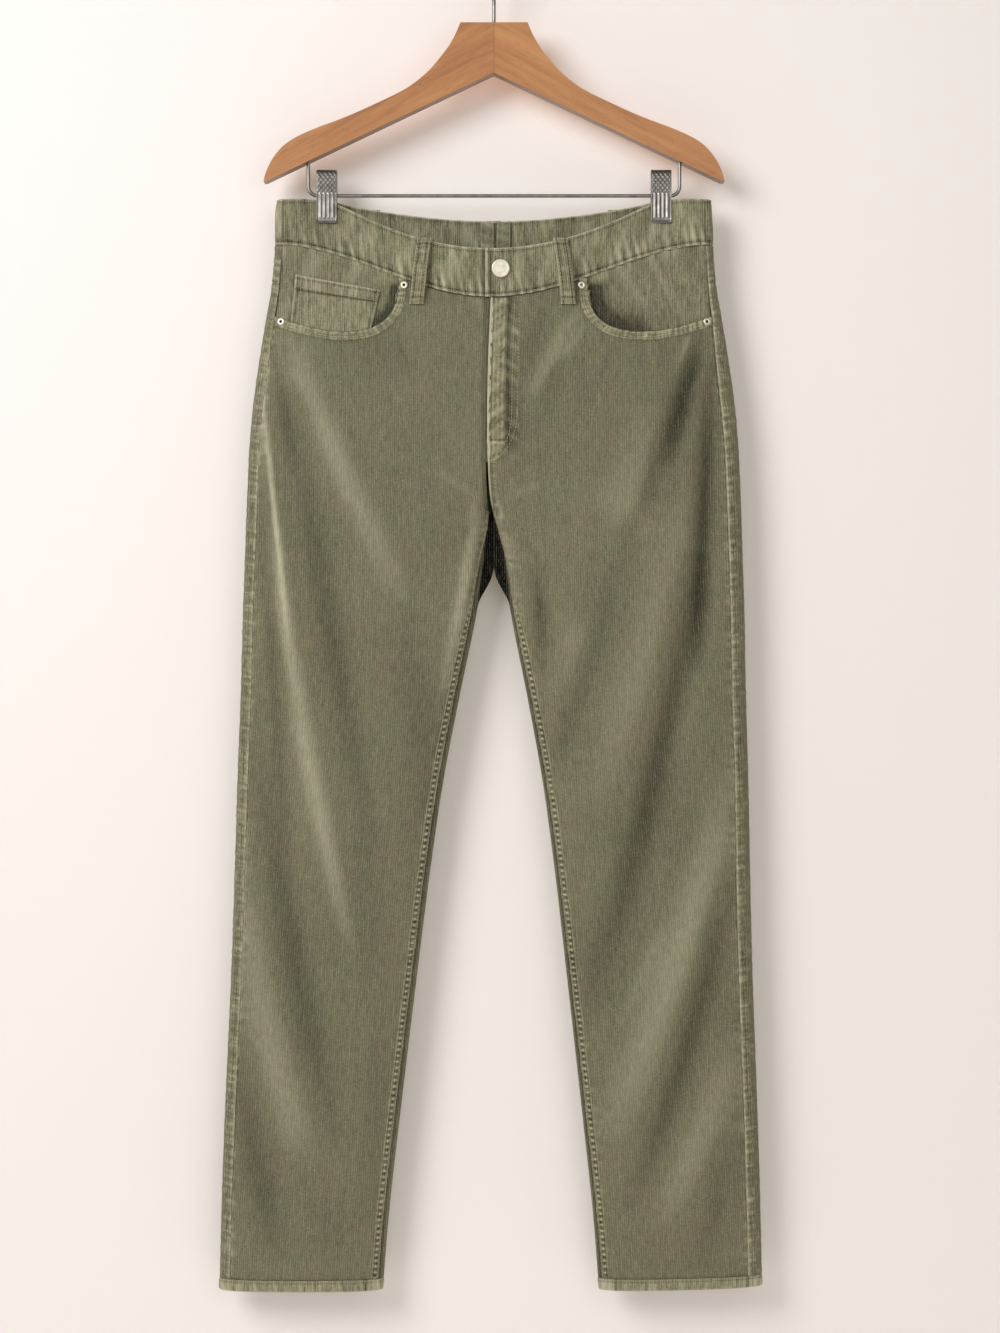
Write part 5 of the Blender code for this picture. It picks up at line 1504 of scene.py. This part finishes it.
J_BEND = 0.205
left = one_side(on_front, LEFT)
for inset in (0.0, 0.0052):
    straight = np.linspace(front_seam(0.02) + 0.002, J_BEND, 40)
    drop = np.concatenate([straight, np.linspace(J_BEND + 0.004, 0.253, 30)])
    bend = np.sqrt(np.clip(1 - np.clip((drop - J_BEND) / 0.0485, 0, 1) ** 2, 0, 1))
    x = 0.0015 + (0.0265 - inset) * bend
    front_rows.append(row_of_stitches(left, x, drop - inset * (1 - bend)))
for inset in (0.0020, 0.0068):
    drop = np.linspace(FLY_FOOT + 0.002, CROTCH_DROP - 0.004, 20)
    front_rows.append(row_of_stitches(left, inset + 0 * drop, drop))
    drop = np.linspace(0.128, 0.294, 60)
    back_rows.append(row_of_stitches(one_side(on_back, LEFT), inset, drop))
front_rows += bar_tack(left, 0.0275, 0.208, 0.0024, 0.0085)
front_rows += bar_tack(left, 0.0050, FLY_FOOT - 0.001, 0.0080, 0.0022)
BUTTON_U = 0.0092
BUTTON_DROP = 0.0696
for above in (-0.0011, 0.0011):
    u, drop = np.array([BUTTON_U + 0.0075, BUTTON_U + 0.0215]), BUTTON_DROP + above
    front_rows.append(row_of_stitches(fronts_across, u, drop, pitch=0.0014, length=0.0013))
front_rows += bar_tack(fronts_across, BUTTON_U + 0.0222, BUTTON_DROP, 0.0014, 0.0046)
line = np.linspace(0, 1, 30)
for k, inset in ((0, 0.0016), (0, 0.0112), (1, 0.0018), (3, 0.0018), (1, 0.0064)):
    corner, after = COIN_CORNERS[k], COIN_CORNERS[(k + 1) % 4]
    heading = (after - corner) / np.linalg.norm(after - corner)
    inward = np.array([-heading[1], heading[0]])
    x, drop = (corner + (after - corner) * (0.02 + 0.96 * line[:, None]) + inward * inset).T
    shown = drop < np.interp(x, *MOUTH_LINES[RIGHT]) - 0.0010
    front_rows.append(row_of_stitches(one_side(on_front, RIGHT), x[shown], drop[shown]))
for drop in (BACK_DIP + 0.001, BACK_DIP + BACK_LOOP_LENGTH - 0.004):
    back_rows += bar_tack(backs_across, 0.0, drop + 0.001, *TACK, OVER_LOOP)
for name, rows in (("stitches_front", front_rows), ("stitches_back", back_rows)):
    piece = in_scene(name, thread_mesh(name, rows), thread_finish)
    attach(piece, "root")


# ---------------------------------------------------------------- button and rivets
# A plain nickel shank button closes the band, and nickel rivets with a sunken middle pin both
# ends of each pocket mouth. All are turned or pressed, and worn bright on their rims; the
# bottom of each rivet's sunken middle is painted near black, as shade.
BUTTON_R = 0.0090
RIVET_R = 0.0038
RIVETS = ((0.0854, 0.0850), (0.2055, 0.1195))


def worn_metal(name, colour, roughness, grime, scale):
    """Plated metal: faint scratches and pits vary its roughness, with dull film in patches, and
    the hollows that its attribute marks are painted near black, as shade.
    """
    made, start, shader = new_finish(name, colour, roughness, 1.0)
    place = start.place()
    film = place.noise(scale=scale, detail=4.0, roughness=0.6).between(0.35, 0.75)
    hollow = start.attribute("hollow")
    dull = film.mixed(colour, grime)
    start.feed(shader.inputs["Base Color"], hollow.mixed(dull, linear(38, 35, 29)))
    fine = place.noise(scale=scale * 5, detail=2.0)
    start.feed(shader.inputs["Roughness"], fine * 0.16 + (roughness - 0.08) + film * 0.10)
    start.feed(shader.inputs["Normal"], fine.bumped(0.12, 0.0001))
    return made


def turned(name, profile, base, axis, finish, steps, shaded_from=math.inf):
    """A profile of radius and height spun about an axis; its first and last points are poles.
    From the given row on, it is the bottom of a hole, painted near black as shade."""
    radius, height = np.array(profile).T
    turn = np.linspace(0, 2 * math.pi, steps, endpoint=False)
    side_a = np.cross(axis, (1.0, 0.0, 0.0))
    side_a /= np.linalg.norm(side_a)
    side_b = np.cross(axis, side_a)
    spoke = side_a * np.cos(turn)[:, None] + side_b * np.sin(turn)[:, None]
    points = base + height[:, None, None] * axis + radius[:, None, None] * spoke
    rings = len(profile) - 2
    index = numbered(rings, steps, closed=True)
    quads = grid_quads(index, flipped=True)
    low, high = rings * steps, rings * steps + 1
    fans = [np.stack([index[0, 1:], index[0, :-1], np.full(steps, low)], axis=-1)]
    fans.append(np.stack([index[-1, :-1], index[-1, 1:], np.full(steps, high)], axis=-1))
    corners = np.concatenate([points[1:-1].reshape(-1, 3), points[:1, 0], points[-1:, 0]])
    mesh = smooth_mesh(name, corners, quads.tolist() + np.concatenate(fans).tolist())
    dark = np.arange(len(profile)) >= shaded_from
    marked(mesh, "hollow", np.concatenate([np.repeat(dark[1:-1], steps), dark[[0, -1]]]))
    piece = in_scene(name, mesh, finish)
    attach(piece, "root")
    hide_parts(name)


def outward(across, u, drop, lift):
    """A point on the cloth and the direction out of it."""
    base, above = (across(np.array(u), np.array(drop), high) for high in (lift, lift + 0.001))
    return base, (above - base) / np.linalg.norm(above - base)


NICKEL = worn_metal("nickel", linear(236, 232, 216), 0.48, linear(212, 206, 188), 260.0)
bend = np.linspace(-0.45 * math.pi, 0.52 * math.pi, 9)
rolled = [(BUTTON_R - 0.0013 + 0.0013 * math.cos(a), 0.0016 + 0.0013 * math.sin(a)) for a in bend]
base, axis = outward(fronts_across, BUTTON_U, BUTTON_DROP, 0.0006)
profile = [(0, 0.0), (0.0068, 0.0), *rolled, (0.0070, 0.0028), (0.0063, 0.0027), (0.0050, 0.00275)]
profile += [(0.0035, 0.0028), (0.0018, 0.00285), (0, 0.0029)]
turned("button", profile, base, axis, NICKEL, steps=56)
for side, name in SIDE_NAMES.items():
    for (x, drop), place in zip(RIVETS, ("upper", "lower")):
        base, axis = outward(one_side(on_front, side), x, drop, 0.0010)
        profile = [(0, 0), (0.0034, 0), (RIVET_R, 0.0004), (0.0036, 0.0010), (0.0030, 0.0014)]
        profile += [(0.0022, 0.0015), (0.0014, 0.0013), (0.0011, 0.0010), (0.0010, 0.0004)]
        profile.append((0, 0.0003))
        turned("rivet_" + place + "_" + name, profile, base, axis, NICKEL, steps=36, shaded_from=7)


# ---------------------------------------------------------------- hanger wood
# Two arms of varnished hardwood, 15 mm thick, glued at the centre with the grain of each
# running out along it. Every edge is rounded over, and faces that turn downwards are painted
# darker, as shade.
WOOD_THICK = 0.0150
WOOD_EDGE = 0.0034
WOOD_TOP_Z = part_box("hanger_wood")[1].z
WOOD_FOOT_MIDDLE = 0.0488
WOOD_SLOPE = 0.4762
WOOD_JOINT = 0.0004
WOOD_LOWER_REACH = 0.2192
WOOD_UPPER = np.array(
    [
        # distance out, drop from the top, along the right arm's upper edge
        (0.0325, 0.0000),
        (0.0355, 0.0075),
        (0.0388, 0.0145),
        (0.0443, 0.0240),
        (0.0514, 0.0330),
        (0.0588, 0.0422),
        (0.0670, 0.0504),
        (0.0770, 0.0586),
        (0.0880, 0.0660),
        (0.1130, 0.0780),
        (0.1440, 0.0920),
        (0.1750, 0.1030),
        (0.2000, 0.1150),
        (0.2130, 0.1290),
        (0.2210, 0.1445),
        (0.2228, 0.1535),
    ]
)


def wood_foot(x):
    """Height of the wood's lower edge, which is straight down each arm."""
    return WOOD_TOP_Z - WOOD_FOOT_MIDDLE - WOOD_SLOPE * np.abs(x)


def eased_line(points, count):
    """Points evenly along a line after its corners have been cut off three times."""
    for _ in range(3):
        cut = 0.25 * points[:-1] + 0.75 * points[1:], 0.75 * points[:-1] + 0.25 * points[1:]
        inner = np.stack([cut[1], cut[0]], axis=1).reshape(-1, 2)
        points = np.concatenate([points[:1], inner, points[-1:]])
    run = np.append(0, np.cumsum(np.linalg.norm(np.diff(points, axis=0), axis=1)))
    even = np.linspace(0, run[-1], count)
    return np.stack([np.interp(even, run, points[:, k]) for k in range(2)], axis=1)


def arm_outline(count):
    """The right arm's upper edge and its lower edge, as matching rows from the centre out."""
    flat = np.stack([np.linspace(WOOD_JOINT, WOOD_UPPER[0, 0], 14), np.zeros(14)], axis=1)
    upper = np.concatenate([flat[:-1], eased_line(WOOD_UPPER, count)])
    share = np.linspace(0, 1, len(upper))
    low_x = WOOD_JOINT + WOOD_LOWER_REACH * (0.75 * share + 0.25 * share**2)
    upper_z = WOOD_TOP_Z - upper[:, 1]
    return upper[:, 0], upper_z, low_x, wood_foot(low_x)


def varnished_wood():
    """Hardwood under clear varnish: rings drawn out along each arm, darker pores and ticks in
    them, a joint at the centre, and a slow change of tone from board to board."""
    light, middle, dark = linear(194, 138, 84), linear(174, 117, 67), linear(126, 77, 42)
    made, start, shader = new_finish("varnished_oak", middle, 0.42)
    place = start.place()
    x, y, z = (place.part(k) for k in range(3))
    out = x.math("ABSOLUTE", x)
    slope = math.atan(0.55)
    run = out * math.cos(slope) + z * -math.sin(slope)
    across = out * math.sin(slope) + z * math.cos(slope)
    side = x.between(-0.0002, 0.0002)
    grain = start.node("ShaderNodeCombineXYZ", {}, {0: run + side * 0.37, 1: across, 2: y})
    waver = grain.stretched(7, 30, 30).noise(detail=2.0)
    ring = (across * 540 + waver * 14.0).sine() * 0.5 + 0.5
    figure = grain.stretched(9, 95, 60).noise(detail=4.0, roughness=0.62)
    pores = grain.stretched(60, 1500, 900).noise(detail=2.0).between(0.60, 0.74)
    ticks = grain.stretched(150, 420, 300).noise(detail=1.0).between(0.66, 0.74)
    tone = figure * 0.85 + ring * 0.07 + side * 0.06 + 0.02
    ramp = {"stops": [(0.22, dark), (0.46, middle), (0.72, light)]}
    colour = start.node("ShaderNodeValToRGB", ramp, {0: tone})
    colour = (pores * 0.42 + ticks * 0.25).mixed(colour, dark)
    joint = 1 - out.between(0.0002, 0.0007)
    colour = (joint * 0.45).mixed(colour, linear(98, 60, 34))
    facing = start.node("ShaderNodeNewGeometry", output="Normal")
    # painted shade on faces that turn downwards
    underside_shade = facing.part(2).between(-0.15, -0.75)
    colour = (underside_shade * 0.80).mixed(colour, linear(74, 40, 20))
    start.feed(shader.inputs["Base Color"], colour)
    start.feed(shader.inputs["Roughness"], figure * 0.20 + 0.30)
    start.feed(shader.inputs["Normal"], (figure * 0.5 + pores * -0.6).bumped(0.22, 0.0004))
    shader.inputs["Coat Weight"].default_value = 0.35
    shader.inputs["Coat Roughness"].default_value = 0.22
    return made


top_x, top_z, low_x, low_z = arm_outline(110)
rise = np.linspace(0, 1, 9)[:, None]
face_x, face_z = low_x + (top_x - low_x) * rise, low_z + (top_z - low_z) * rise
face_x = np.concatenate([-face_x[:, ::-1], face_x], axis=1)
face_z = np.concatenate([face_z[:, ::-1], face_z], axis=1)
half = WOOD_THICK / 2
front_face = np.stack([face_x, np.full_like(face_x, -half), face_z], axis=-1)
back_face = np.stack([face_x, np.full_like(face_x, half), face_z], axis=-1)[::-1]
loop = np.concatenate([front_face, back_face])
index = numbered(*loop.shape[:2])
quads = [grid_quads(np.concatenate([index, index[:1]]), flipped=True)]
for column in (0, -1):
    near, far = index[: len(rise), column], index[len(rise) :, column][::-1]
    strip = np.stack([near[:-1], near[1:], far[1:], far[:-1]], axis=-1)
    quads.append(strip if column else strip[:, ::-1])
mesh = smooth_mesh("hanger_wood", loop, np.concatenate(quads).tolist())
wood = in_scene("hanger_wood_turned", mesh, varnished_wood())
rounding = wood.modifiers.new("rounded_edges", "BEVEL")
rounding.width = WOOD_EDGE
rounding.segments = 5
rounding.limit_method = "ANGLE"
rounding.angle_limit = math.radians(50)
evened = wood.modifiers.new("evened_shading", "WEIGHTED_NORMAL")
evened.keep_sharp = True
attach(wood, "root")
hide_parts("hanger_wood")


# ---------------------------------------------------------------- hook and drop bar
# Plated steel wire, 3.5 mm across. The hook is bent over and screwed into the top of the wood,
# and the bar's turned-up ends are pressed into its underside.
WIRE_R = 0.00175
WIRE_SIDES = 18
HOOK_R = 0.0225
BAR_Z = WAIST_TOP_Z + 0.0040
BAR_HALF = 0.1800
BAR_BEND = 0.0090


def arc(centre_x, centre_z, radius, start, end, count):
    angle = np.radians(np.linspace(start, end, count))
    return np.stack([centre_x + radius * np.cos(angle), centre_z + radius * np.sin(angle)], axis=1)


def wire(name, line):
    """A round wire along a line in the hanger's plane: rings square to it, closed by domes."""
    run = np.append(0, np.cumsum(np.linalg.norm(np.diff(line, axis=0), axis=1)))
    heading = np.gradient(line, run, axis=0)
    heading /= np.linalg.norm(heading, axis=1, keepdims=True)
    first, last = heading[0], heading[-1]
    dome = np.linspace(0, math.pi / 2, 5)[:-1]
    near_end = line[0] - WIRE_R * np.cos(dome)[:, None] * first
    far_end = line[-1] + WIRE_R * np.sin(dome + math.pi / 8)[:, None] * last
    centre = np.concatenate([near_end, line, far_end])
    heading = np.concatenate([np.tile(first, (4, 1)), heading, np.tile(last, (4, 1))])
    radius = [WIRE_R * np.sin(dome), np.full(len(line), WIRE_R)]
    radius.append(WIRE_R * np.cos(dome + math.pi / 8))
    radius = np.maximum(np.concatenate(radius), 0.00002)
    turn = np.linspace(0, 2 * math.pi, WIRE_SIDES, endpoint=False)
    side_x, side_z = -heading[:, 1], heading[:, 0]
    x = centre[:, :1] + radius[:, None] * np.cos(turn) * side_x[:, None]
    z = centre[:, 1:] + radius[:, None] * np.cos(turn) * side_z[:, None]
    points = np.stack([x, radius[:, None] * np.sin(turn), z], axis=-1)
    index = numbered(len(centre), WIRE_SIDES, closed=True)
    caps = [index[0, :-1].tolist(), index[-1, -2::-1].tolist()]
    mesh = smooth_mesh(name, points, grid_quads(index).tolist() + caps)
    piece = in_scene(name + "_wire", mesh, STEEL)
    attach(piece, "root")
    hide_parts(name)


STEEL = worn_metal("plated_steel", linear(158, 156, 152), 0.34, linear(118, 115, 110), 120.0)
middle = WIRE_R - HOOK_R
bend = arc(0, middle, HOOK_R, 205, -58, 60)
t = np.linspace(0, 1, 20)[1:, None]
heading = 0.026 * np.array([-math.sin(math.radians(58)), -0.53])
shank_top = np.array([0, middle - 0.042])
shank = (2 * t**3 - 3 * t**2 + 1) * bend[-1] + (t**3 - 2 * t**2 + t) * heading
shank = shank + (3 * t**2 - 2 * t**3) * shank_top + (t**3 - t**2) * np.array([0, -0.026])
shank_foot = np.array([[0, WOOD_TOP_Z - 0.0140]])
straight = shank_top + (shank_foot - shank_top) * np.linspace(0, 1, 8)[1:, None]
wire("hook", np.concatenate([bend, shank, straight]))
head = wood_foot(BAR_HALF) + 0.0100
rise = np.linspace(0, 1, 6)[:-1, None]
corner = BAR_HALF - BAR_BEND
left_turn = arc(-corner, BAR_Z + BAR_BEND, BAR_BEND, 180, 270, 14)
right_turn = arc(corner, BAR_Z + BAR_BEND, BAR_BEND, 270, 360, 14)
down = np.array([[-BAR_HALF, head]]) + (left_turn[:1] - np.array([[-BAR_HALF, head]])) * rise
flat = left_turn[-1:] + (right_turn[:1] - left_turn[-1:]) * np.linspace(0, 1, 40)[1:-1, None]
up = right_turn[-1:] + (np.array([[BAR_HALF, head]]) - right_turn[-1:]) * (rise + 0.2)
wire("drop_bar", np.concatenate([down, left_turn, flat, right_turn, up]))


# ---------------------------------------------------------------- clips
# Two pressed and plated steel clips hang over the bar and grip the waistband. Their upper part
# is studded for the thumb, and their jaws are stiffened by upright ribs above a plain lip.
CLIP_WIDTH = 0.0194
CLIP_SHEET = 0.0012
STUD_PITCH = (0.0044, 0.0052)
RIB_PITCH = 0.0040
CLIP_PATH = np.array(
    [
        # depth out from the middle, height above the waistband's top, for one jaw from its lip
        (0.0059, -0.0233),
        (0.0043, -0.0213),
        (0.0043, -0.0100),
        (0.0043, 0.0000),
        (0.0055, 0.0100),
        (0.0062, 0.0215),
        (0.0048, 0.0262),
        (0.0020, 0.0278),
        (0.0000, 0.0278),
    ]
)

half_path = eased_line(CLIP_PATH, 100)
path = np.concatenate([half_path * (-1, 1), half_path[-2::-1]])
heading = np.gradient(path, axis=0)
heading /= np.linalg.norm(heading, axis=1, keepdims=True)
normal = np.stack([-heading[:, 1], heading[:, 0]], axis=1)
height = path[:, 1:]
for side, name in SIDE_NAMES.items():
    across = np.linspace(-1, 1, 64)[None, :] * CLIP_WIDTH / 2
    from_middle = np.abs(across)
    studded, ribbed = ease(height, 0.0055, 0.0075), ease(height, 0.006, 0.004)
    above_lip = ease(height, -0.0195, -0.0180)
    waves = [np.cos(2 * math.pi * at / pitch) for at, pitch in zip((across, height), STUD_PITCH)]
    studs = np.clip(2.2 * (0.5 - 0.5 * waves[0] * waves[1]) - 0.9, 0, 1)
    studs = studs * studded * ease(height, 0.0265, 0.0245) * ease(from_middle, 0.0088, 0.0080)
    ribs = (0.5 + 0.5 * np.cos(2 * math.pi * across / RIB_PITCH + math.pi)) ** 0.7
    ribs = ribs * ease(height, 0.0065, 0.0050) * above_lip * ease(from_middle, 0.0084, 0.0076)
    edge = ease(from_middle, 0.0086, 0.0092)
    relief = CLIP_SHEET + 0.00075 * studs + 0.00075 * ribs + 0.0007 * edge * ribbed
    points = np.empty(relief.shape + (3,))
    points[..., 0] = side * CLIP_X + across
    points[..., 1] = path[:, :1] + normal[:, :1] * relief
    points[..., 2] = WAIST_TOP_Z + path[:, 1:] + normal[:, 1:] * relief
    quads = grid_quads(numbered(*relief.shape), flipped=True)
    mesh = smooth_mesh("clip_" + name, points, quads.tolist())
    # painted shade: the sheet between the studs and between the ribs is marked to be darkened
    between = np.clip((1 - studs) * studded + (1 - ribs) * ribbed, 0, 1)
    marked(mesh, "hollow", 0.30 * between * (1 - edge) * above_lip)
    clip = in_scene("pressed_clip_" + name, mesh, STEEL)
    shell = clip.modifiers.new("sheet", "SOLIDIFY")
    shell.thickness = CLIP_SHEET
    shell.offset = -1
    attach(clip, "root")
    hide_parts("clip_" + name)


# ---------------------------------------------------------------- room
# A pale plastered wall close behind the hanger and a pale floor, under soft light from the
# upper left. The wall is one-sided, so that it hides nothing and shades nothing from behind.
WALL_Y = 0.0360
FLOOR_Z = -1.75


def plane(name, corners, finish):
    in_scene(name, smooth_mesh(name, corners, [(0, 1, 2, 3)]), finish)


def one_sided_paint():
    made, start, shader = new_finish("wall_paint", linear(250, 246, 245), 0.9)
    behind = start.node("ShaderNodeNewGeometry", output="Backfacing")
    shadow = start.node("ShaderNodeLightPath", output="Is Shadow Ray")
    clear = start.node("ShaderNodeBsdfTransparent")
    either = behind.math("MAXIMUM", behind, shadow)
    shown = start.node("ShaderNodeMixShader", {}, {0: either, 2: clear})
    made.node_tree.links.new(shader.outputs[0], shown.output.node.inputs[1])
    made.node_tree.links.new(shown.output, made.node_tree.nodes["Material Output"].inputs[0])
    return made


bpy.context.scene.view_settings.view_transform = "Standard"
HALF, HIGH = 3.0, 1.6
foot = [(-HALF, WALL_Y, FLOOR_Z), (HALF, WALL_Y, FLOOR_Z)]
plane("wall", foot + [(HALF, WALL_Y, HIGH), (-HALF, WALL_Y, HIGH)], one_sided_paint())
near = [(-HALF, -HALF, FLOOR_Z), (HALF, -HALF, FLOOR_Z)]
floor_paint = new_finish("floor_paint", linear(236, 231, 225), 0.8)[0]
plane("floor", near + [(HALF, HALF, FLOOR_Z), (-HALF, HALF, FLOOR_Z)], floor_paint)


def softbox(name, place, target, size, power, colour):
    light = bpy.data.lights.new(name, "AREA")
    light.shape = "DISK"
    light.size = size
    light.energy = power
    light.color = colour
    made = bpy.data.objects.new(name, light)
    made.location = place
    made.rotation_euler = (Vector(target) - Vector(place)).to_track_quat("-Z", "Y").to_euler()
    bpy.context.scene.collection.objects.link(made)


MIDDLE = (0.0, 0.0, -0.70)
softbox("key", (-1.5, -2.0, 0.50), MIDDLE, 1.5, 43, (1.0, 0.985, 0.98))
softbox("fill", (0.8, -2.8, -0.3), MIDDLE, 2.4, 16, (1.0, 0.99, 0.97))
softbox("rear", (0.8, 2.4, 0.4), MIDDLE, 1.8, 55, (1.0, 0.99, 0.98))
room = bpy.data.worlds.new("room")
room.use_nodes = True
room.node_tree.nodes["Background"].inputs["Color"].default_value = linear(252, 242, 230)
room.node_tree.nodes["Background"].inputs["Strength"].default_value = 0.31
bpy.context.scene.world = room

VIEW_HEIGHT = 1.293
DISTANCE = 2.4
camera = bpy.data.cameras.new("camera")
camera.sensor_width = 36.0
camera.lens = 36.0 * DISTANCE / VIEW_HEIGHT
eye = bpy.data.objects.new("camera", camera)
eye.location = (0.0058, -DISTANCE, -0.7175)
eye.rotation_euler = (math.pi / 2, 0, 0)
bpy.context.scene.collection.objects.link(eye)
bpy.context.scene.camera = eye
